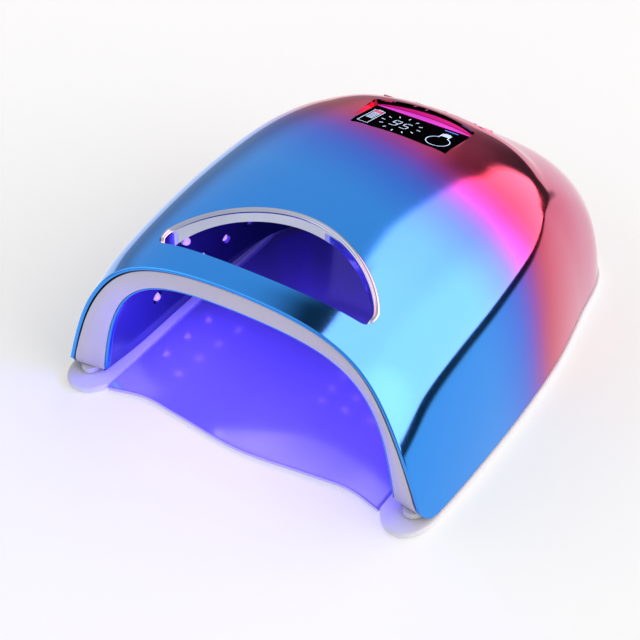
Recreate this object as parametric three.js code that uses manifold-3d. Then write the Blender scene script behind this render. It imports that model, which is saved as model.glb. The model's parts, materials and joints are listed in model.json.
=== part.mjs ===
// UV LED nail lamp: a plated arch-shaped shell over a curing chamber, standing on a removable base plate.
// Millimetres, +Z up, +X to the right, front opening towards -Y. Inside the group every y is a depth from
// the front edge of the base plate, and the group is shifted so that the origin is the middle of the base.
import * as THREE from 'three';
import { mergeVertices } from 'three/addons/utils/BufferGeometryUtils.js';
import Module from 'manifold-3d';

const wasm = await Module();
wasm.setup();

// Driving dimensions
const LENGTH = 257;
const BASE_MARGIN = 1.2; // base plate showing past the shell
const GAP = 0.3; // clearance between neighbouring pieces
const FOOT_HEIGHT = 1;
const FLOOR_Z = 2; // top of the thin middle of the base plate
const RIM_Z = 4.5; // top of the base plate's raised border
const BODY_Z = 5; // underside of the lamp body
const FLOOR_HALF_WIDTH = 80;
const SHELL_WALL = 2.2;
const LINER_WALL = 2;
const BEZEL_WALL = 2.4;
const CHASSIS_THICKNESS = 3;
const BOARD_THICKNESS = 1.6;
const LEG_FRONT = 8; // depth of the shell's front edge at the legs
const LEG_CORNER_RADIUS = 13;
const CHASSIS_TOP = BODY_Z + CHASSIS_THICKNESS;

const HANDLE = { halfWidth: 58.5, tipDepth: 40, shoulder: [54, 31], front: 29.3, rear: 73, frameWall: 1.9 };
const WINDOW = { width: 55, length: 26.6, thickness: 2, depth: 169.2, z: 97.1, tilt: 0.225 };
const POCKET = { halfWidth: 29.6, front: 14.2, rearCorner: 14, rearArch: 10, wall: 2.4, depth: 4.6 };
const BUTTON = { radius: 5.4, travel: 0.8, flange: 1.2, stem: 7, depth: 199, z: 91.6, xs: [-27, -9, 9, 27] };
const BUTTON_DROP = 1.5; // how much lower the outermost caps sit than the middle line, as the shell does
const BUTTON_AXIS = new THREE.Vector3(0, 0.6, 0.8);
const CELL = { radius: 9.2, length: 65, depth: 223, zs: [18.4, 37.2], x: 33 };
const TRAY = { width: 134.4, depth: 21.4, height: 18, wall: 1.2 };
const JACK = { z: 24, wallDepth: 248, hole: 2.9, collar: 4.2, collarLength: 4.4, block: [11, 10, 12] };
const SENSOR = { radius: 3, place: [0, 192, 58] };
const SCREW = { head: 2.9, shank: 1.3, length: 15, boss: 3.5, bossTop: 34 };
const MAGNET = { radius: 5, height: 2 };
const PEG = { radius: 2.5, height: 2.4 };
const FOOT = { radius: 7 };
const BEAD = { radius: 2.5, reach: 5.6 };

// Rows of LEDs: the middle of each board, its outward direction, its size and how its beads are laid out.
const SIDE_TILT = new THREE.Vector3(0.972, 0, 0.235).normalize();
const SIDE_BOARD = { width: 116, height: 38, columns: 6, rows: 2, pitch: [20, 26] };
const ROOF_BOARD = { width: 46, height: 46, columns: 3, rows: 3, pitch: [18, 16] };
const REAR_BOARD = { width: 62, height: 24, columns: 3, rows: 1, pitch: [22, 0] };
const LED_BOARDS = {
  right: { ...SIDE_BOARD, place: [83.6, 108, 40], out: SIDE_TILT },
  left: { ...SIDE_BOARD, place: [-83.6, 108, 40], out: SIDE_TILT.clone().setX(-SIDE_TILT.x) },
  roof: { ...ROOF_BOARD, place: [0, 124, 93.4], out: new THREE.Vector3(0, 0, 1) },
  rear: { ...REAR_BOARD, place: [0, 200.4, 34], out: new THREE.Vector3(0, 0.995, 0.1).normalize() },
};

// Places in plan, as x and depth.
const footPlaces = [[88, 52], [-88, 52], [72, 214], [-72, 214]];
const screwPlaces = [[95, 62], [95, 128], [-95, 62], [-95, 128]];
const magnetPlaces = [[93, 40], [-93, 40], [64, 236], [-64, 236]];
const pegPlaces = [[93, 24], [-93, 24], [30, 246], [-30, 246]];
const cellPlaces = [-CELL.x, CELL.x].flatMap((x) => CELL.zs.map((z) => [x, CELL.depth, z]));

const COLOURS = {
  plating: ['#3f8fe0', 0.12, 0.9],
  bezel: ['#d2cedb', 0.3, 0],
  chrome: ['#c9ccd8', 0.08, 1],
  liner: ['#8d86c8', 0.15, 0.9],
  white: ['#f0eef2', 0.35, 0],
  mirror: ['#8f8fd8', 0.05, 1],
  rubber: ['#4a4a4d', 0.8, 0],
  black: ['#08080a', 0.08, 0],
  board: ['#e8e8ea', 0.5, 0],
  circuit: ['#1f5a3a', 0.5, 0],
  button: ['#c2496f', 0.15, 0.8],
  cell: ['#3d6fb5', 0.4, 0],
  steel: ['#b5b7ba', 0.3, 1],
};

// ---------------------------------------------------------------- helpers

// Shares the vertices that meet and drops the triangles that collapse, such as those at the tip of a lathe.
function tidied(geometry, tolerance = 1e-4) {
  const bare = geometry.clone();
  bare.deleteAttribute('normal');
  bare.deleteAttribute('uv');
  const merged = mergeVertices(bare, tolerance);
  const kept = [];
  for (let i = 0; i < merged.index.count; i += 3) {
    const [a, b, c] = [0, 1, 2].map((k) => merged.index.getX(i + k));
    if (a !== b && b !== c && c !== a) kept.push(a, b, c);
  }
  return merged.setIndex(kept);
}

// A closed mesh as a solid that can be joined and cut.
function solid(geometry) {
  const { attributes, index } = tidied(geometry);
  const vertProperties = new Float32Array(attributes.position.array);
  const triVerts = new Uint32Array(index.array);
  return new wasm.Manifold(new wasm.Mesh({ numProp: 3, vertProperties, triVerts }));
}

function toGeometry(body) {
  const mesh = body.getMesh();
  const geometry = new THREE.BufferGeometry();
  geometry.setAttribute('position', new THREE.BufferAttribute(new Float32Array(mesh.vertProperties), 3));
  geometry.setIndex([...mesh.triVerts]);
  return geometry;
}

// Turns +Z to the given direction and moves the origin to the given place.
function frameAt(place, direction = new THREE.Vector3(0, 0, 1)) {
  const turn = new THREE.Quaternion().setFromUnitVectors(new THREE.Vector3(0, 0, 1), direction);
  return new THREE.Matrix4().compose(new THREE.Vector3(...place), turn, new THREE.Vector3(1, 1, 1));
}

function box(width, depth, height, centre) {
  return new THREE.BoxGeometry(width, depth, height).translate(...centre);
}

// A solid of revolution about +Z from a closed profile of [radius, z] points.
function turned(profile, segments = 16) {
  const points = profile.map(([r, z]) => new THREE.Vector2(r, z));
  return tidied(new THREE.LatheGeometry([...points, points[0]], segments).rotateX(Math.PI / 2));
}

function rod(radius, z0, z1, segments = 16) {
  return turned([[0, z0], [radius, z0], [radius, z1], [0, z1]], segments);
}

function prism(shape, z0, z1, curveSegments = 12) {
  const settings = { depth: z1 - z0, bevelEnabled: false, curveSegments };
  return new THREE.ExtrudeGeometry(shape, settings).translate(0, 0, z0);
}

function united(solids) {
  return solids.reduce((whole, next) => whole.add(next));
}

// ---------------------------------------------------------------- lofted sheets

// Ribs run from the front edge round to the rear centre. Each value is a point that pulls the skin: its lower
// edge [x, depth], the wall above it, the crease, the flank and the crown [x, depth, z], and the ridge along
// the middle [depth, z]. The last rib is the rear centre, where the lower edge lies behind the whole skin.
const REAR = LENGTH - BASE_MARGIN - 0.2;
const shellRib = (base, wall, crease, flank, crown, ridge) => ({ base, wall, crease, flank, crown, ridge });
const SHELL_RIBS = [
  shellRib([103.6, 8], [98.3, 8, 28], [89, 8, 51], [73, 10, 84], [60, 15.5, 94], [16, 94]),
  shellRib([105.3, 30], [99.5, 30, 32], [89.4, 30, 60], [78, 30, 84], [60, 29, 96.3], [29, 96.3]),
  shellRib([106.2, 64], [100.5, 64, 36], [90, 64, 66.5], [80, 64, 86], [60, 64, 100.3], [64, 100.3]),
  shellRib([106, 104], [100.5, 104, 40], [89.7, 104, 71], [80, 104, 86.5], [60, 104, 102], [104, 102]),
  shellRib([103.5, 146], [98, 145, 43], [87, 144, 73], [78, 144, 86.5], [56, 144, 101.6], [142, 101.6]),
  shellRib([97, 186], [92, 183, 49], [82, 167, 75], [73, 165, 86.5], [50, 164, 100], [166, 101]),
  shellRib([88, 226], [85, 221, 58], [73.5, 187, 76], [64, 181, 87], [44, 174, 100], [166, 101]),
  shellRib([60, 251], [56, 244, 62], [50, 203, 78.5], [45, 197, 90], [32, 185, 100.5], [166, 101]),
  shellRib([0, REAR], [0, 250, 64], [0, 208, 80.5], [0, 203, 94], [0, 188, 100.8], [166, 101]),
];

// The reflector inside, from just behind the front panel: its lower edge, side, roof and ridge.
const linerRib = (base, side, roof, ridge) => ({ base, side, roof, ridge });
const LINER_RIBS = [
  linerRib([86.5, 17.3], [77.5, 17.3, 75], [58.5, 21, 81.3], [21, 81.3]),
  linerRib([84.5, 40], [79.5, 40, 81], [62, 40, 90], [36, 90]),
  linerRib([84, 80], [80, 80, 85.5], [62, 78, 94.4], [72, 94.6]),
  linerRib([83, 122], [77, 122, 84], [57, 118, 90], [112, 90]),
  linerRib([77, 162], [72, 157, 82], [46, 145, 88.5], [128, 89]),
  linerRib([52, 190], [49, 182, 78], [30, 163, 88], [128, 89]),
  linerRib([0, 198], [0, 189, 76], [0, 168, 88], [128, 89]),
];

// One guide curve per kind of point, smooth across the rear centre.
function guides(ribs, keys, baseZ) {
  const place = (rib, key, side) => {
    const value = rib[key];
    if (key === 'base') return new THREE.Vector3(side * value[0], value[1], baseZ);
    if (key === 'ridge') return new THREE.Vector3(0, value[0], value[1]);
    return new THREE.Vector3(side * value[0], value[1], value[2]);
  };
  const curves = keys.map((key) => {
    const points = ribs.map((rib) => place(rib, key, 1));
    points.push(place(ribs[ribs.length - 2], key, -1));
    return new THREE.CatmullRomCurve3(points, false, 'centripetal');
  });
  return (u) => curves.map((curve) => curve.getPoint(u / ribs.length));
}

// Inner edge of the front panel: pull points from the right foot to the top of the arch.
const RIM_CURVE = new THREE.CubicBezierCurve3(
  new THREE.Vector3(85.5, 13.5, BODY_Z),
  new THREE.Vector3(76.5, 13.5, 74),
  new THREE.Vector3(58, 17, 80.3),
  new THREE.Vector3(0, 17, 80.3),
);

const shellGuides = guides(SHELL_RIBS, ['base', 'wall', 'crease', 'flank', 'crown', 'ridge'], BODY_Z);
const linerGuides = guides(LINER_RIBS, ['base', 'side', 'roof', 'ridge'], BODY_Z);

// How far the lower edge rises at the rounded front corner of a leg.
function cornerLift(depth) {
  const inside = LEG_CORNER_RADIUS - (depth - LEG_FRONT);
  if (inside <= 0) return 0;
  return LEG_CORNER_RADIUS - Math.sqrt(Math.max(0, LEG_CORNER_RADIUS ** 2 - inside ** 2));
}

// Where a rising curve reaches the given height.
function parameterAtHeight(curve, z) {
  let low = 0;
  let high = 1;
  for (let i = 0; i < 24; i += 1) {
    const middle = (low + high) / 2;
    if (curve.getPoint(middle).z < z) low = middle;
    else high = middle;
  }
  return low;
}

function spread(from, to, steps) {
  return Array.from({ length: steps + 1 }, (_, i) => from + ((to - from) * i) / steps);
}

// One section of the shell from its lower edge over the softened crease to the ridge.
function shellSection(u) {
  const [base, wall, crease, flank, crown, ridge] = shellGuides(u);
  const lower = new THREE.QuadraticBezierCurve3(base, wall, crease);
  const upper = new THREE.CubicBezierCurve3(crease, flank, crown, ridge);
  const softLower = 0.86;
  const softUpper = 0.07;
  const start = parameterAtHeight(lower, BODY_Z + cornerLift(base.y));
  const bend = new THREE.QuadraticBezierCurve3(lower.getPoint(softLower), crease, upper.getPoint(softUpper));
  return [
    ...spread(start, softLower, 5).map((t) => lower.getPoint(t)),
    ...[1 / 3, 2 / 3].map((t) => bend.getPoint(t)),
    ...spread(softUpper, 1, 9).map((t) => upper.getPoint(t)),
  ];
}

function linerSection(u) {
  const curve = new THREE.CubicBezierCurve3(...linerGuides(u));
  return spread(0, 1, 8).map((t) => curve.getPoint(t));
}

// An open sheet through the sections and their mirror images, seen from outside.
function sheet(section, stations) {
  const rows = stations.map(section);
  const vertices = [];
  const corner = (p, side) => vertices.push(p.x * side, p.y, p.z);
  for (let i = 0; i + 1 < rows.length; i += 1) {
    for (let j = 0; j + 1 < rows[i].length; j += 1) {
      const [a, b, c, d] = [rows[i][j], rows[i + 1][j], rows[i + 1][j + 1], rows[i][j + 1]];
      [a, b, c, a, c, d].forEach((p) => corner(p, 1));
      [a, c, b, a, d, c].forEach((p) => corner(p, -1));
    }
  }
  const soup = new THREE.BufferGeometry();
  soup.setAttribute('position', new THREE.Float32BufferAttribute(vertices, 3));
  const merged = tidied(soup, 1e-3);
  merged.computeVertexNormals();
  return merged;
}

function edgesUsedOnce(index) {
  const seen = new Map();
  for (let i = 0; i < index.length; i += 3) {
    for (const [a, b] of [[index[i], index[i + 1]], [index[i + 1], index[i + 2]], [index[i + 2], index[i]]]) {
      if (seen.has(`${b},${a}`)) seen.delete(`${b},${a}`);
      else seen.set(`${a},${b}`, [a, b]);
    }
  }
  return [...seen.values()];
}

// The sheet moved along its normals. Its border keeps its height or depth, so cut edges stay flat.
function offsetPoints(surface, distance) {
  const { position, normal } = surface.attributes;
  const border = new Set(edgesUsedOnce([...surface.index.array]).flat());
  const points = [];
  for (let i = 0; i < position.count; i += 1) {
    const flat = border.has(i);
    points.push(position.getX(i) + normal.getX(i) * distance);
    points.push(position.getY(i) + (flat && position.getY(i) < 30 ? 0 : normal.getY(i) * distance));
    points.push(position.getZ(i) + (flat && position.getZ(i) < 25 ? 0 : normal.getZ(i) * distance));
  }
  return points;
}

// A wall of the given thickness on the outer (positive) or inner (negative) side of a sheet.
function wallOf(surface, thickness) {
  const count = surface.attributes.position.count;
  const near = [...surface.attributes.position.array];
  const vertices = [...near, ...offsetPoints(surface, thickness)];
  const front = [...surface.index.array];
  const back = front.map((k) => k + count).reverse();
  const index = [...front, ...back];
  for (const [a, b] of edgesUsedOnce(front)) index.push(b, a, a + count, b, a + count, b + count);
  if (thickness > 0) index.reverse();
  const geometry = new THREE.BufferGeometry();
  geometry.setAttribute('position', new THREE.Float32BufferAttribute(vertices, 3));
  geometry.setIndex(index);
  return geometry;
}

// Everything under a sheet, closed by a fan from its border to a point low in the front opening.
function underOf(surface, distance) {
  const vertices = offsetPoints(surface, distance);
  const apex = vertices.length / 3;
  vertices.push(0, 26, -4);
  const index = [...surface.index.array];
  for (const [a, b] of edgesUsedOnce(index)) index.push(b, a, apex);
  const geometry = new THREE.BufferGeometry();
  geometry.setAttribute('position', new THREE.Float32BufferAttribute(vertices, 3));
  geometry.setIndex(index);
  return geometry;
}

const SHELL_STATIONS = [0, 0.03, 0.11, 0.24, 0.42, 0.7, ...spread(1, 5, 8), ...spread(5.34, 8, 8)];
const LINER_STATIONS = [0, 0.4, 1, 2, ...spread(3, 6, 7)];
const shellSheet = sheet(shellSection, SHELL_STATIONS);
const linerSheet = sheet(linerSection, LINER_STATIONS);
const underShell = (distance) => solid(underOf(shellSheet, distance));
const underLiner = (distance) => solid(underOf(linerSheet, distance));

// ---------------------------------------------------------------- openings and local frames

// Finger opening in plan: a shallow bow towards the front, a deep arc behind, small round tips.
function handleShape(inset) {
  const tip = HANDLE.halfWidth - inset;
  const shoulder = HANDLE.shoulder[0] - inset;
  const shoulderDepth = HANDLE.shoulder[1] + inset;
  const front = HANDLE.front + inset;
  const rear = HANDLE.rear - inset;
  const bow = 2 * front - shoulderDepth; // pull point that puts the middle of the bow at the front depth
  const shape = new THREE.Shape();
  shape.moveTo(-shoulder, shoulderDepth);
  shape.quadraticCurveTo(0, bow, shoulder, shoulderDepth);
  shape.quadraticCurveTo(tip + 2, shoulderDepth + 0.5, tip, HANDLE.tipDepth);
  shape.bezierCurveTo(0.9 * tip, 53 - inset, 0.46 * tip, rear, 0, rear);
  shape.bezierCurveTo(-0.46 * tip, rear, -0.9 * tip, 53 - inset, -tip, HANDLE.tipDepth);
  shape.quadraticCurveTo(-tip - 2, shoulderDepth + 0.5, -shoulder, shoulderDepth);
  return shape;
}

const windowAxis = new THREE.Vector3(0, WINDOW.tilt, Math.sqrt(1 - WINDOW.tilt ** 2));
const windowFrame = frameAt([0, WINDOW.depth, WINDOW.z], windowAxis);
const buttonDrop = (x) => BUTTON_DROP * (x / BUTTON.xs[0]) ** 2;
const buttonFrames = BUTTON.xs.map((x) => {
  const down = BUTTON_AXIS.clone().multiplyScalar(-buttonDrop(x));
  return frameAt([x, BUTTON.depth + down.y, BUTTON.z + down.z], BUTTON_AXIS);
});

// Recess around the display: straight sides, an arched rear edge.
function pocketShape(margin) {
  const halfWidth = POCKET.halfWidth + margin;
  const front = -POCKET.front - margin;
  const rearCorner = POCKET.rearCorner + margin;
  const shape = new THREE.Shape();
  shape.moveTo(-halfWidth, front);
  shape.lineTo(halfWidth, front);
  shape.lineTo(halfWidth, rearCorner);
  shape.quadraticCurveTo(0, rearCorner + POCKET.rearArch, -halfWidth, rearCorner);
  return shape;
}

// ---------------------------------------------------------------- lamp body

// Plated shell with the display's recess, button holes, inlet hole and four screw bosses.
function outerShell() {
  const skin = solid(wallOf(shellSheet, -SHELL_WALL));
  const inside = underShell(-GAP);
  const pocketBlock = solid(prism(pocketShape(POCKET.wall), -POCKET.depth, 14, 6).applyMatrix4(windowFrame));
  const bosses = united(screwPlaces.map(([x, y]) => (
    solid(rod(SCREW.boss, CHASSIS_TOP + GAP, SCREW.bossTop, 12).translate(x, y, 0))
  )));
  const glassHole = box(WINDOW.width + 2 * GAP, WINDOW.length + 2 * GAP, 6, [0, 0, 0.7]);
  const screenHole = box(48, 20, 12, [0, 0, -3]);
  const cutters = [
    prism(handleShape(0), 60, 120, 10),
    prism(pocketShape(0), 0, 20, 6).applyMatrix4(windowFrame),
    glassHole.applyMatrix4(windowFrame),
    screenHole.applyMatrix4(windowFrame),
    ...buttonFrames.map((frame) => rod(BUTTON.radius + 0.5, -10, 10).applyMatrix4(frame)),
    ...buttonFrames.map((frame) => rod(BUTTON.radius + BUTTON.flange + 0.5, -12, -3.9).applyMatrix4(frame)),
    rod(JACK.collar + GAP, -6, 12, 16).rotateX(-Math.PI / 2).translate(0, JACK.wallDepth - 2, JACK.z),
    ...screwPlaces.map(([x, y]) => rod(SCREW.shank + GAP, 0, SCREW.length + 7, 12).translate(x, y, 0)),
  ];
  const blank = skin.add(pocketBlock.intersect(inside)).add(bosses.intersect(inside));
  return toGeometry(blank.subtract(united(cutters.map(solid))));
}

// Evenly spaced points along an arch given from the right foot to its top, moved towards the chamber.
// A toe leads into the arch along the rounded lower corner of the leg.
function archPoints(rightSide, inset, toe, count) {
  const inward = rightSide.map((point, i) => {
    const next = rightSide[Math.min(i + 1, rightSide.length - 1)];
    const before = rightSide[Math.max(i - 1, 0)];
    return new THREE.Vector3(before.z - next.z, 0, next.x - before.x).normalize();
  });
  const half = [
    ...toe.map((point) => point.addScaledVector(inward[0], inset)),
    ...rightSide.map((point, i) => point.addScaledVector(inward[i], inset)),
  ];
  const left = half.slice(0, -1).reverse().map((p) => new THREE.Vector3(-p.x, p.y, p.z));
  const curve = new THREE.CatmullRomCurve3([...half, ...left], false, 'centripetal');
  return spread(0, 1, count).map((t) => curve.getPointAt(t));
}

// Triangles of a polygon's cap, each turned the way the polygon runs.
function capTriangles(polygon) {
  const n = polygon.length;
  const follows = (a, b) => (b - a + n) % n;
  return THREE.ShapeUtils.triangulateShape(polygon, []).map(([a, b, c]) => (
    follows(a, b) + follows(b, c) + follows(c, a) === n ? [a, b, c] : [a, c, b]
  ));
}

// A tube skinned over rings of equal length, with a flat cap at each end.
function skinned(rings) {
  const n = rings[0].length;
  const index = [];
  for (let i = 0; i + 1 < rings.length; i += 1) {
    for (let k = 0; k < n; k += 1) {
      const [a, b] = [i * n + k, i * n + ((k + 1) % n)];
      index.push(a, a + n, b, b, a + n, b + n);
    }
  }
  const plan = (ring) => ring.map((p) => new THREE.Vector2(p.x, p.y));
  const lastRing = rings[rings.length - 1];
  const start = (rings.length - 1) * n;
  capTriangles(plan(rings[0])).forEach((corners) => index.push(...corners));
  capTriangles(plan(lastRing)).forEach(([a, b, c]) => index.push(start + a, start + c, start + b));
  const vertices = rings.flat().flatMap((p) => p.toArray());
  const geometry = new THREE.BufferGeometry();
  geometry.setAttribute('position', new THREE.Float32BufferAttribute(vertices, 3));
  geometry.setIndex(index);
  return geometry;
}

// Pale bell-mouth panel that closes the front between the shell and the liner.
function frontBezel() {
  const count = 34;
  const toe = [0.34, 0.2, 0.1, 0.03].map((u) => shellSection(u)[0]);
  const outer = archPoints(shellSection(0), SHELL_WALL + 2 * GAP, toe, count);
  const inner = archPoints(RIM_CURVE.getPoints(12), 0, [], count);
  const floor = CHASSIS_TOP + GAP;
  const rings = outer.map((o, i) => {
    const n = inner[i];
    const faceAt = (t) => o.y + 0.8 + (n.y - o.y) * t ** 1.5;
    const at = (t, y) => new THREE.Vector3(o.x + (n.x - o.x) * t, y, Math.max(o.z + (n.z - o.z) * t, floor));
    const face = [0, 0.35, 0.75, 1].map((t) => at(t, faceAt(t)));
    const back = [1, 0.75, 0].map((t) => at(t, faceAt(t) + BEZEL_WALL));
    return [...face, ...back];
  });
  return skinned(rings);
}

// Chrome sleeve that lines the finger opening from just above the shell down to the chamber.
function handleFrame() {
  const outside = solid(prism(handleShape(GAP), 60, 120, 10));
  const hollow = solid(prism(handleShape(GAP + HANDLE.frameWall), 50, 130, 10));
  const ring = outside.subtract(hollow);
  return toGeometry(ring.intersect(underShell(0.8)).subtract(underLiner(0)));
}

// Local frame of a board: its own z points away from the chamber and its x runs along its longer rows.
function boardFrame({ place, out }) {
  const up = Math.abs(out.z) > 0.9 ? new THREE.Vector3(0, 1, 0) : new THREE.Vector3(0, 0, 1);
  const across = new THREE.Vector3().crossVectors(up, out).normalize();
  const rise = new THREE.Vector3().crossVectors(out, across);
  return new THREE.Matrix4().makeBasis(across, rise, out).setPosition(...place);
}

// Where the beads sit on a board, as x and y in its own frame.
function ledPlaces({ columns, rows, pitch }) {
  const line = (count, step) => Array.from({ length: count }, (_, i) => (i - (count - 1) / 2) * step);
  return line(columns, pitch[0]).flatMap((x) => line(rows, pitch[1]).map((y) => [x, y]));
}

function ledBoard(board) {
  const plate = solid(box(board.width, board.height, BOARD_THICKNESS, [0, 0, BOARD_THICKNESS / 2]));
  const bead = rod(BEAD.radius, -BEAD.reach, 0.5, 8);
  const beads = ledPlaces(board).map(([x, y]) => solid(bead.clone().translate(x, y, 0)));
  return toGeometry(united([plate, ...beads])).applyMatrix4(boardFrame(board));
}

// Reflector that forms the curing chamber, with a hole over every LED and slots that let air through.
function reflectorLiner() {
  const skin = solid(wallOf(linerSheet, LINER_WALL));
  const windows = Object.values(LED_BOARDS).flatMap((board) => ledPlaces(board).map(([x, y]) => (
    solid(rod(BEAD.radius + 1.2, -14, 2, 8).translate(x, y, 0).applyMatrix4(boardFrame(board)))
  )));
  const sensor = solid(rod(SENSOR.radius + GAP, -16, 16, 12).rotateX(Math.PI / 2).translate(...SENSOR.place));
  const handle = solid(prism(handleShape(0), 60, 120, 10));
  return toGeometry(skin.subtract(united([...windows, sensor, handle])));
}

// Infrared hand detector behind the rear wall of the chamber.
function handSensor() {
  const lens = solid(rod(SENSOR.radius, -3, 6, 12).rotateX(-Math.PI / 2).translate(...SENSOR.place));
  const [x, y, z] = SENSOR.place;
  return toGeometry(lens.add(solid(box(16, 3, 12, [x, y + 7, z]))));
}

function displayWindow() {
  const { width, length, thickness } = WINDOW;
  return box(width, length, thickness, [0, 0, -thickness / 2]).applyMatrix4(windowFrame);
}

function displayBoard() {
  const board = solid(box(58, 30, 1.6, [0, 0, -5.8]));
  const screen = solid(box(46, 18, 3, [0, 0, -3.8]));
  return toGeometry(board.add(screen).add(solid(box(12, 5, 3, [0, 9, -7.5])))).applyMatrix4(windowFrame);
}

// A push button: domed cap, retaining flange under the shell, stem over its switch.
function pushButton(frame) {
  const { radius, stem } = BUTTON;
  const rim = radius + BUTTON.flange;
  const stemProfile = [[0, -stem], [1.6, -stem], [1.6, -5.4]];
  const flangeProfile = [[rim, -5.4], [rim, -4.4]];
  const capProfile = [[radius, -4.4], [radius, -0.5], [radius - 0.6, 0.1], [0, 0.4]];
  return turned([...stemProfile, ...flangeProfile, ...capProfile]).applyMatrix4(frame);
}

function buttonBoard() {
  const middle = frameAt([0, BUTTON.depth, BUTTON.z], BUTTON_AXIS);
  const top = -BUTTON.stem - BUTTON.travel - GAP; // highest a switch may reach under a pressed stem
  const switchHeight = 3.7; // of the middle line; the outer switches are lower by the drop of their caps
  const boardMiddle = top - switchHeight - BOARD_THICKNESS / 2 + 0.2;
  const board = solid(box(68, 12, BOARD_THICKNESS, [0, 0, boardMiddle]));
  const switches = BUTTON.xs.map((x) => {
    const height = switchHeight - buttonDrop(x);
    return solid(box(6, 6, height, [x, 0, top - switchHeight + height / 2]));
  });
  return toGeometry(united([board, ...switches])).applyMatrix4(middle);
}

// Upright main board behind the chamber, with a charger, a processor and a connector.
function controlBoard() {
  const depth = 204.6;
  const board = box(66, BOARD_THICKNESS, 40, [0, depth, 32]);
  const charger = box(14, 4, 9, [-20, depth + 2.4, 40]);
  const processor = box(10, 3, 10, [2, depth + 2, 34]);
  const connector = box(12, 4, 6, [22, depth + 2.4, 44]);
  return toGeometry(united([board, charger, processor, connector].map(solid)));
}

// ---------------------------------------------------------------- power

function batteryCell(place) {
  const half = CELL.length / 2;
  const { radius } = CELL;
  const rim = radius - 0.6;
  const can = [[0, -half], [rim, -half], [radius, -half + 0.6], [radius, half - 2], [rim, half - 1.4]];
  const terminal = [[3, half - 1.4], [3, half], [0, half]];
  return turned([...can, ...terminal], 14).rotateY(Math.PI / 2).translate(...place);
}

// Open-topped cradle with a rib between the two pairs of cells.
function batteryTray() {
  const middle = CHASSIS_TOP + GAP + TRAY.height / 2;
  const block = solid(box(TRAY.width, TRAY.depth, TRAY.height, [0, CELL.depth, middle]));
  const hollows = [-CELL.x, CELL.x].map((x) => (
    solid(box(CELL.length + 0.7, TRAY.depth - 2 * TRAY.wall, TRAY.height, [x, CELL.depth, middle + 0.7]))
  ));
  return toGeometry(block.subtract(united(hollows)));
}

// Power inlet: a block inside, a collar in the shell's rear wall, a socket with a centre contact.
function dcJack() {
  const block = solid(box(...JACK.block, [0, 0, -JACK.block[2] / 2]));
  const collar = solid(rod(JACK.collar, -1, JACK.collarLength, 16));
  const socket = solid(rod(JACK.hole, -9, JACK.collarLength + 2, 16));
  const contact = solid(rod(1, -10, JACK.collarLength - 2, 8));
  const whole = block.add(collar).subtract(socket).add(contact);
  return toGeometry(whole).rotateX(-Math.PI / 2).translate(0, JACK.wallDepth, JACK.z);
}

// ---------------------------------------------------------------- chassis and base

// Lower edge of a loft as an outline in plan, moved outwards by a distance.
function outline(guide, last, distance, steps = 28) {
  const points = spread(0, last, steps).map((u) => guide(u)[0]);
  return points.map((point, i) => {
    const next = points[Math.min(i + 1, steps)];
    const before = points[Math.max(i - 1, 0)];
    const along = new THREE.Vector2(next.x - before.x, next.y - before.y).normalize();
    if (i === steps) along.set(-1, 0);
    return new THREE.Vector2(point.x + along.y * distance, point.y - along.x * distance);
  });
}

const shellOutline = (distance) => outline(shellGuides, SHELL_RIBS.length - 1, distance);
const linerOutline = (distance) => outline(linerGuides, LINER_RIBS.length - 1, distance);

// Plan of the lamp body's legs and rear: inside the shell, outside the chamber, with rounded toes.
function chassisShape() {
  const toeStart = 26;
  const toe = { front: 10.5, middle: 94, outer: 101, inner: 89.6 };
  const outer = shellOutline(-SHELL_WALL - 1.5).filter((p) => p.y > toeStart);
  const inner = linerOutline(LINER_WALL + 0.6).filter((p) => p.y > toeStart);
  const mirrored = (points) => points.map((p) => new THREE.Vector2(-p.x, p.y));
  const shape = new THREE.Shape();
  shape.moveTo(toe.middle, toe.front);
  shape.quadraticCurveTo(toe.outer, toe.front, outer[0].x, outer[0].y);
  [...outer, ...mirrored(outer).reverse()].forEach((p) => shape.lineTo(p.x, p.y));
  shape.quadraticCurveTo(-toe.outer, toe.front, -toe.middle, toe.front);
  shape.quadraticCurveTo(-toe.inner, toe.front, -toe.inner, 18);
  [...mirrored(inner), ...inner.slice().reverse()].forEach((p) => shape.lineTo(p.x, p.y));
  shape.lineTo(toe.inner, 18);
  shape.quadraticCurveTo(toe.inner, toe.front, toe.middle, toe.front);
  return shape;
}

function chassisFrame() {
  const plate = solid(prism(chassisShape(), BODY_Z, CHASSIS_TOP, 5));
  const holes = [
    ...screwPlaces.map(([x, y]) => rod(SCREW.shank + GAP, 0, 12, 12).translate(x, y, 0)),
    ...screwPlaces.map(([x, y]) => rod(SCREW.head + GAP, 0, BODY_Z + 1.6, 16).translate(x, y, 0)),
    ...magnetPlaces.map(([x, y]) => rod(MAGNET.radius + GAP, 0, BODY_Z + 1.9, 16).translate(x, y, 0)),
    ...pegPlaces.map(([x, y]) => rod(PEG.radius + 0.5, 0, 12, 12).translate(x, y, 0)),
  ];
  return toGeometry(plate.subtract(united(holes.map(solid))));
}

function chassisScrew([x, y]) {
  const { head, shank, length } = SCREW;
  const headProfile = [[0, 0], [head - 0.4, 0], [head, 0.4], [head, 1.3]];
  const shankProfile = [[shank, 1.3], [shank, length - 1.5], [0.3, length], [0, length]];
  return turned([...headProfile, ...shankProfile], 12).translate(x, y, BODY_Z);
}

// Front edge of the floor between the ears: hollow beside them, a low tongue in the middle.
const FLOOR_FRONT = [[80, 10], [60, 14.5], [38, 12.5], [0, 8.5]];

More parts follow.
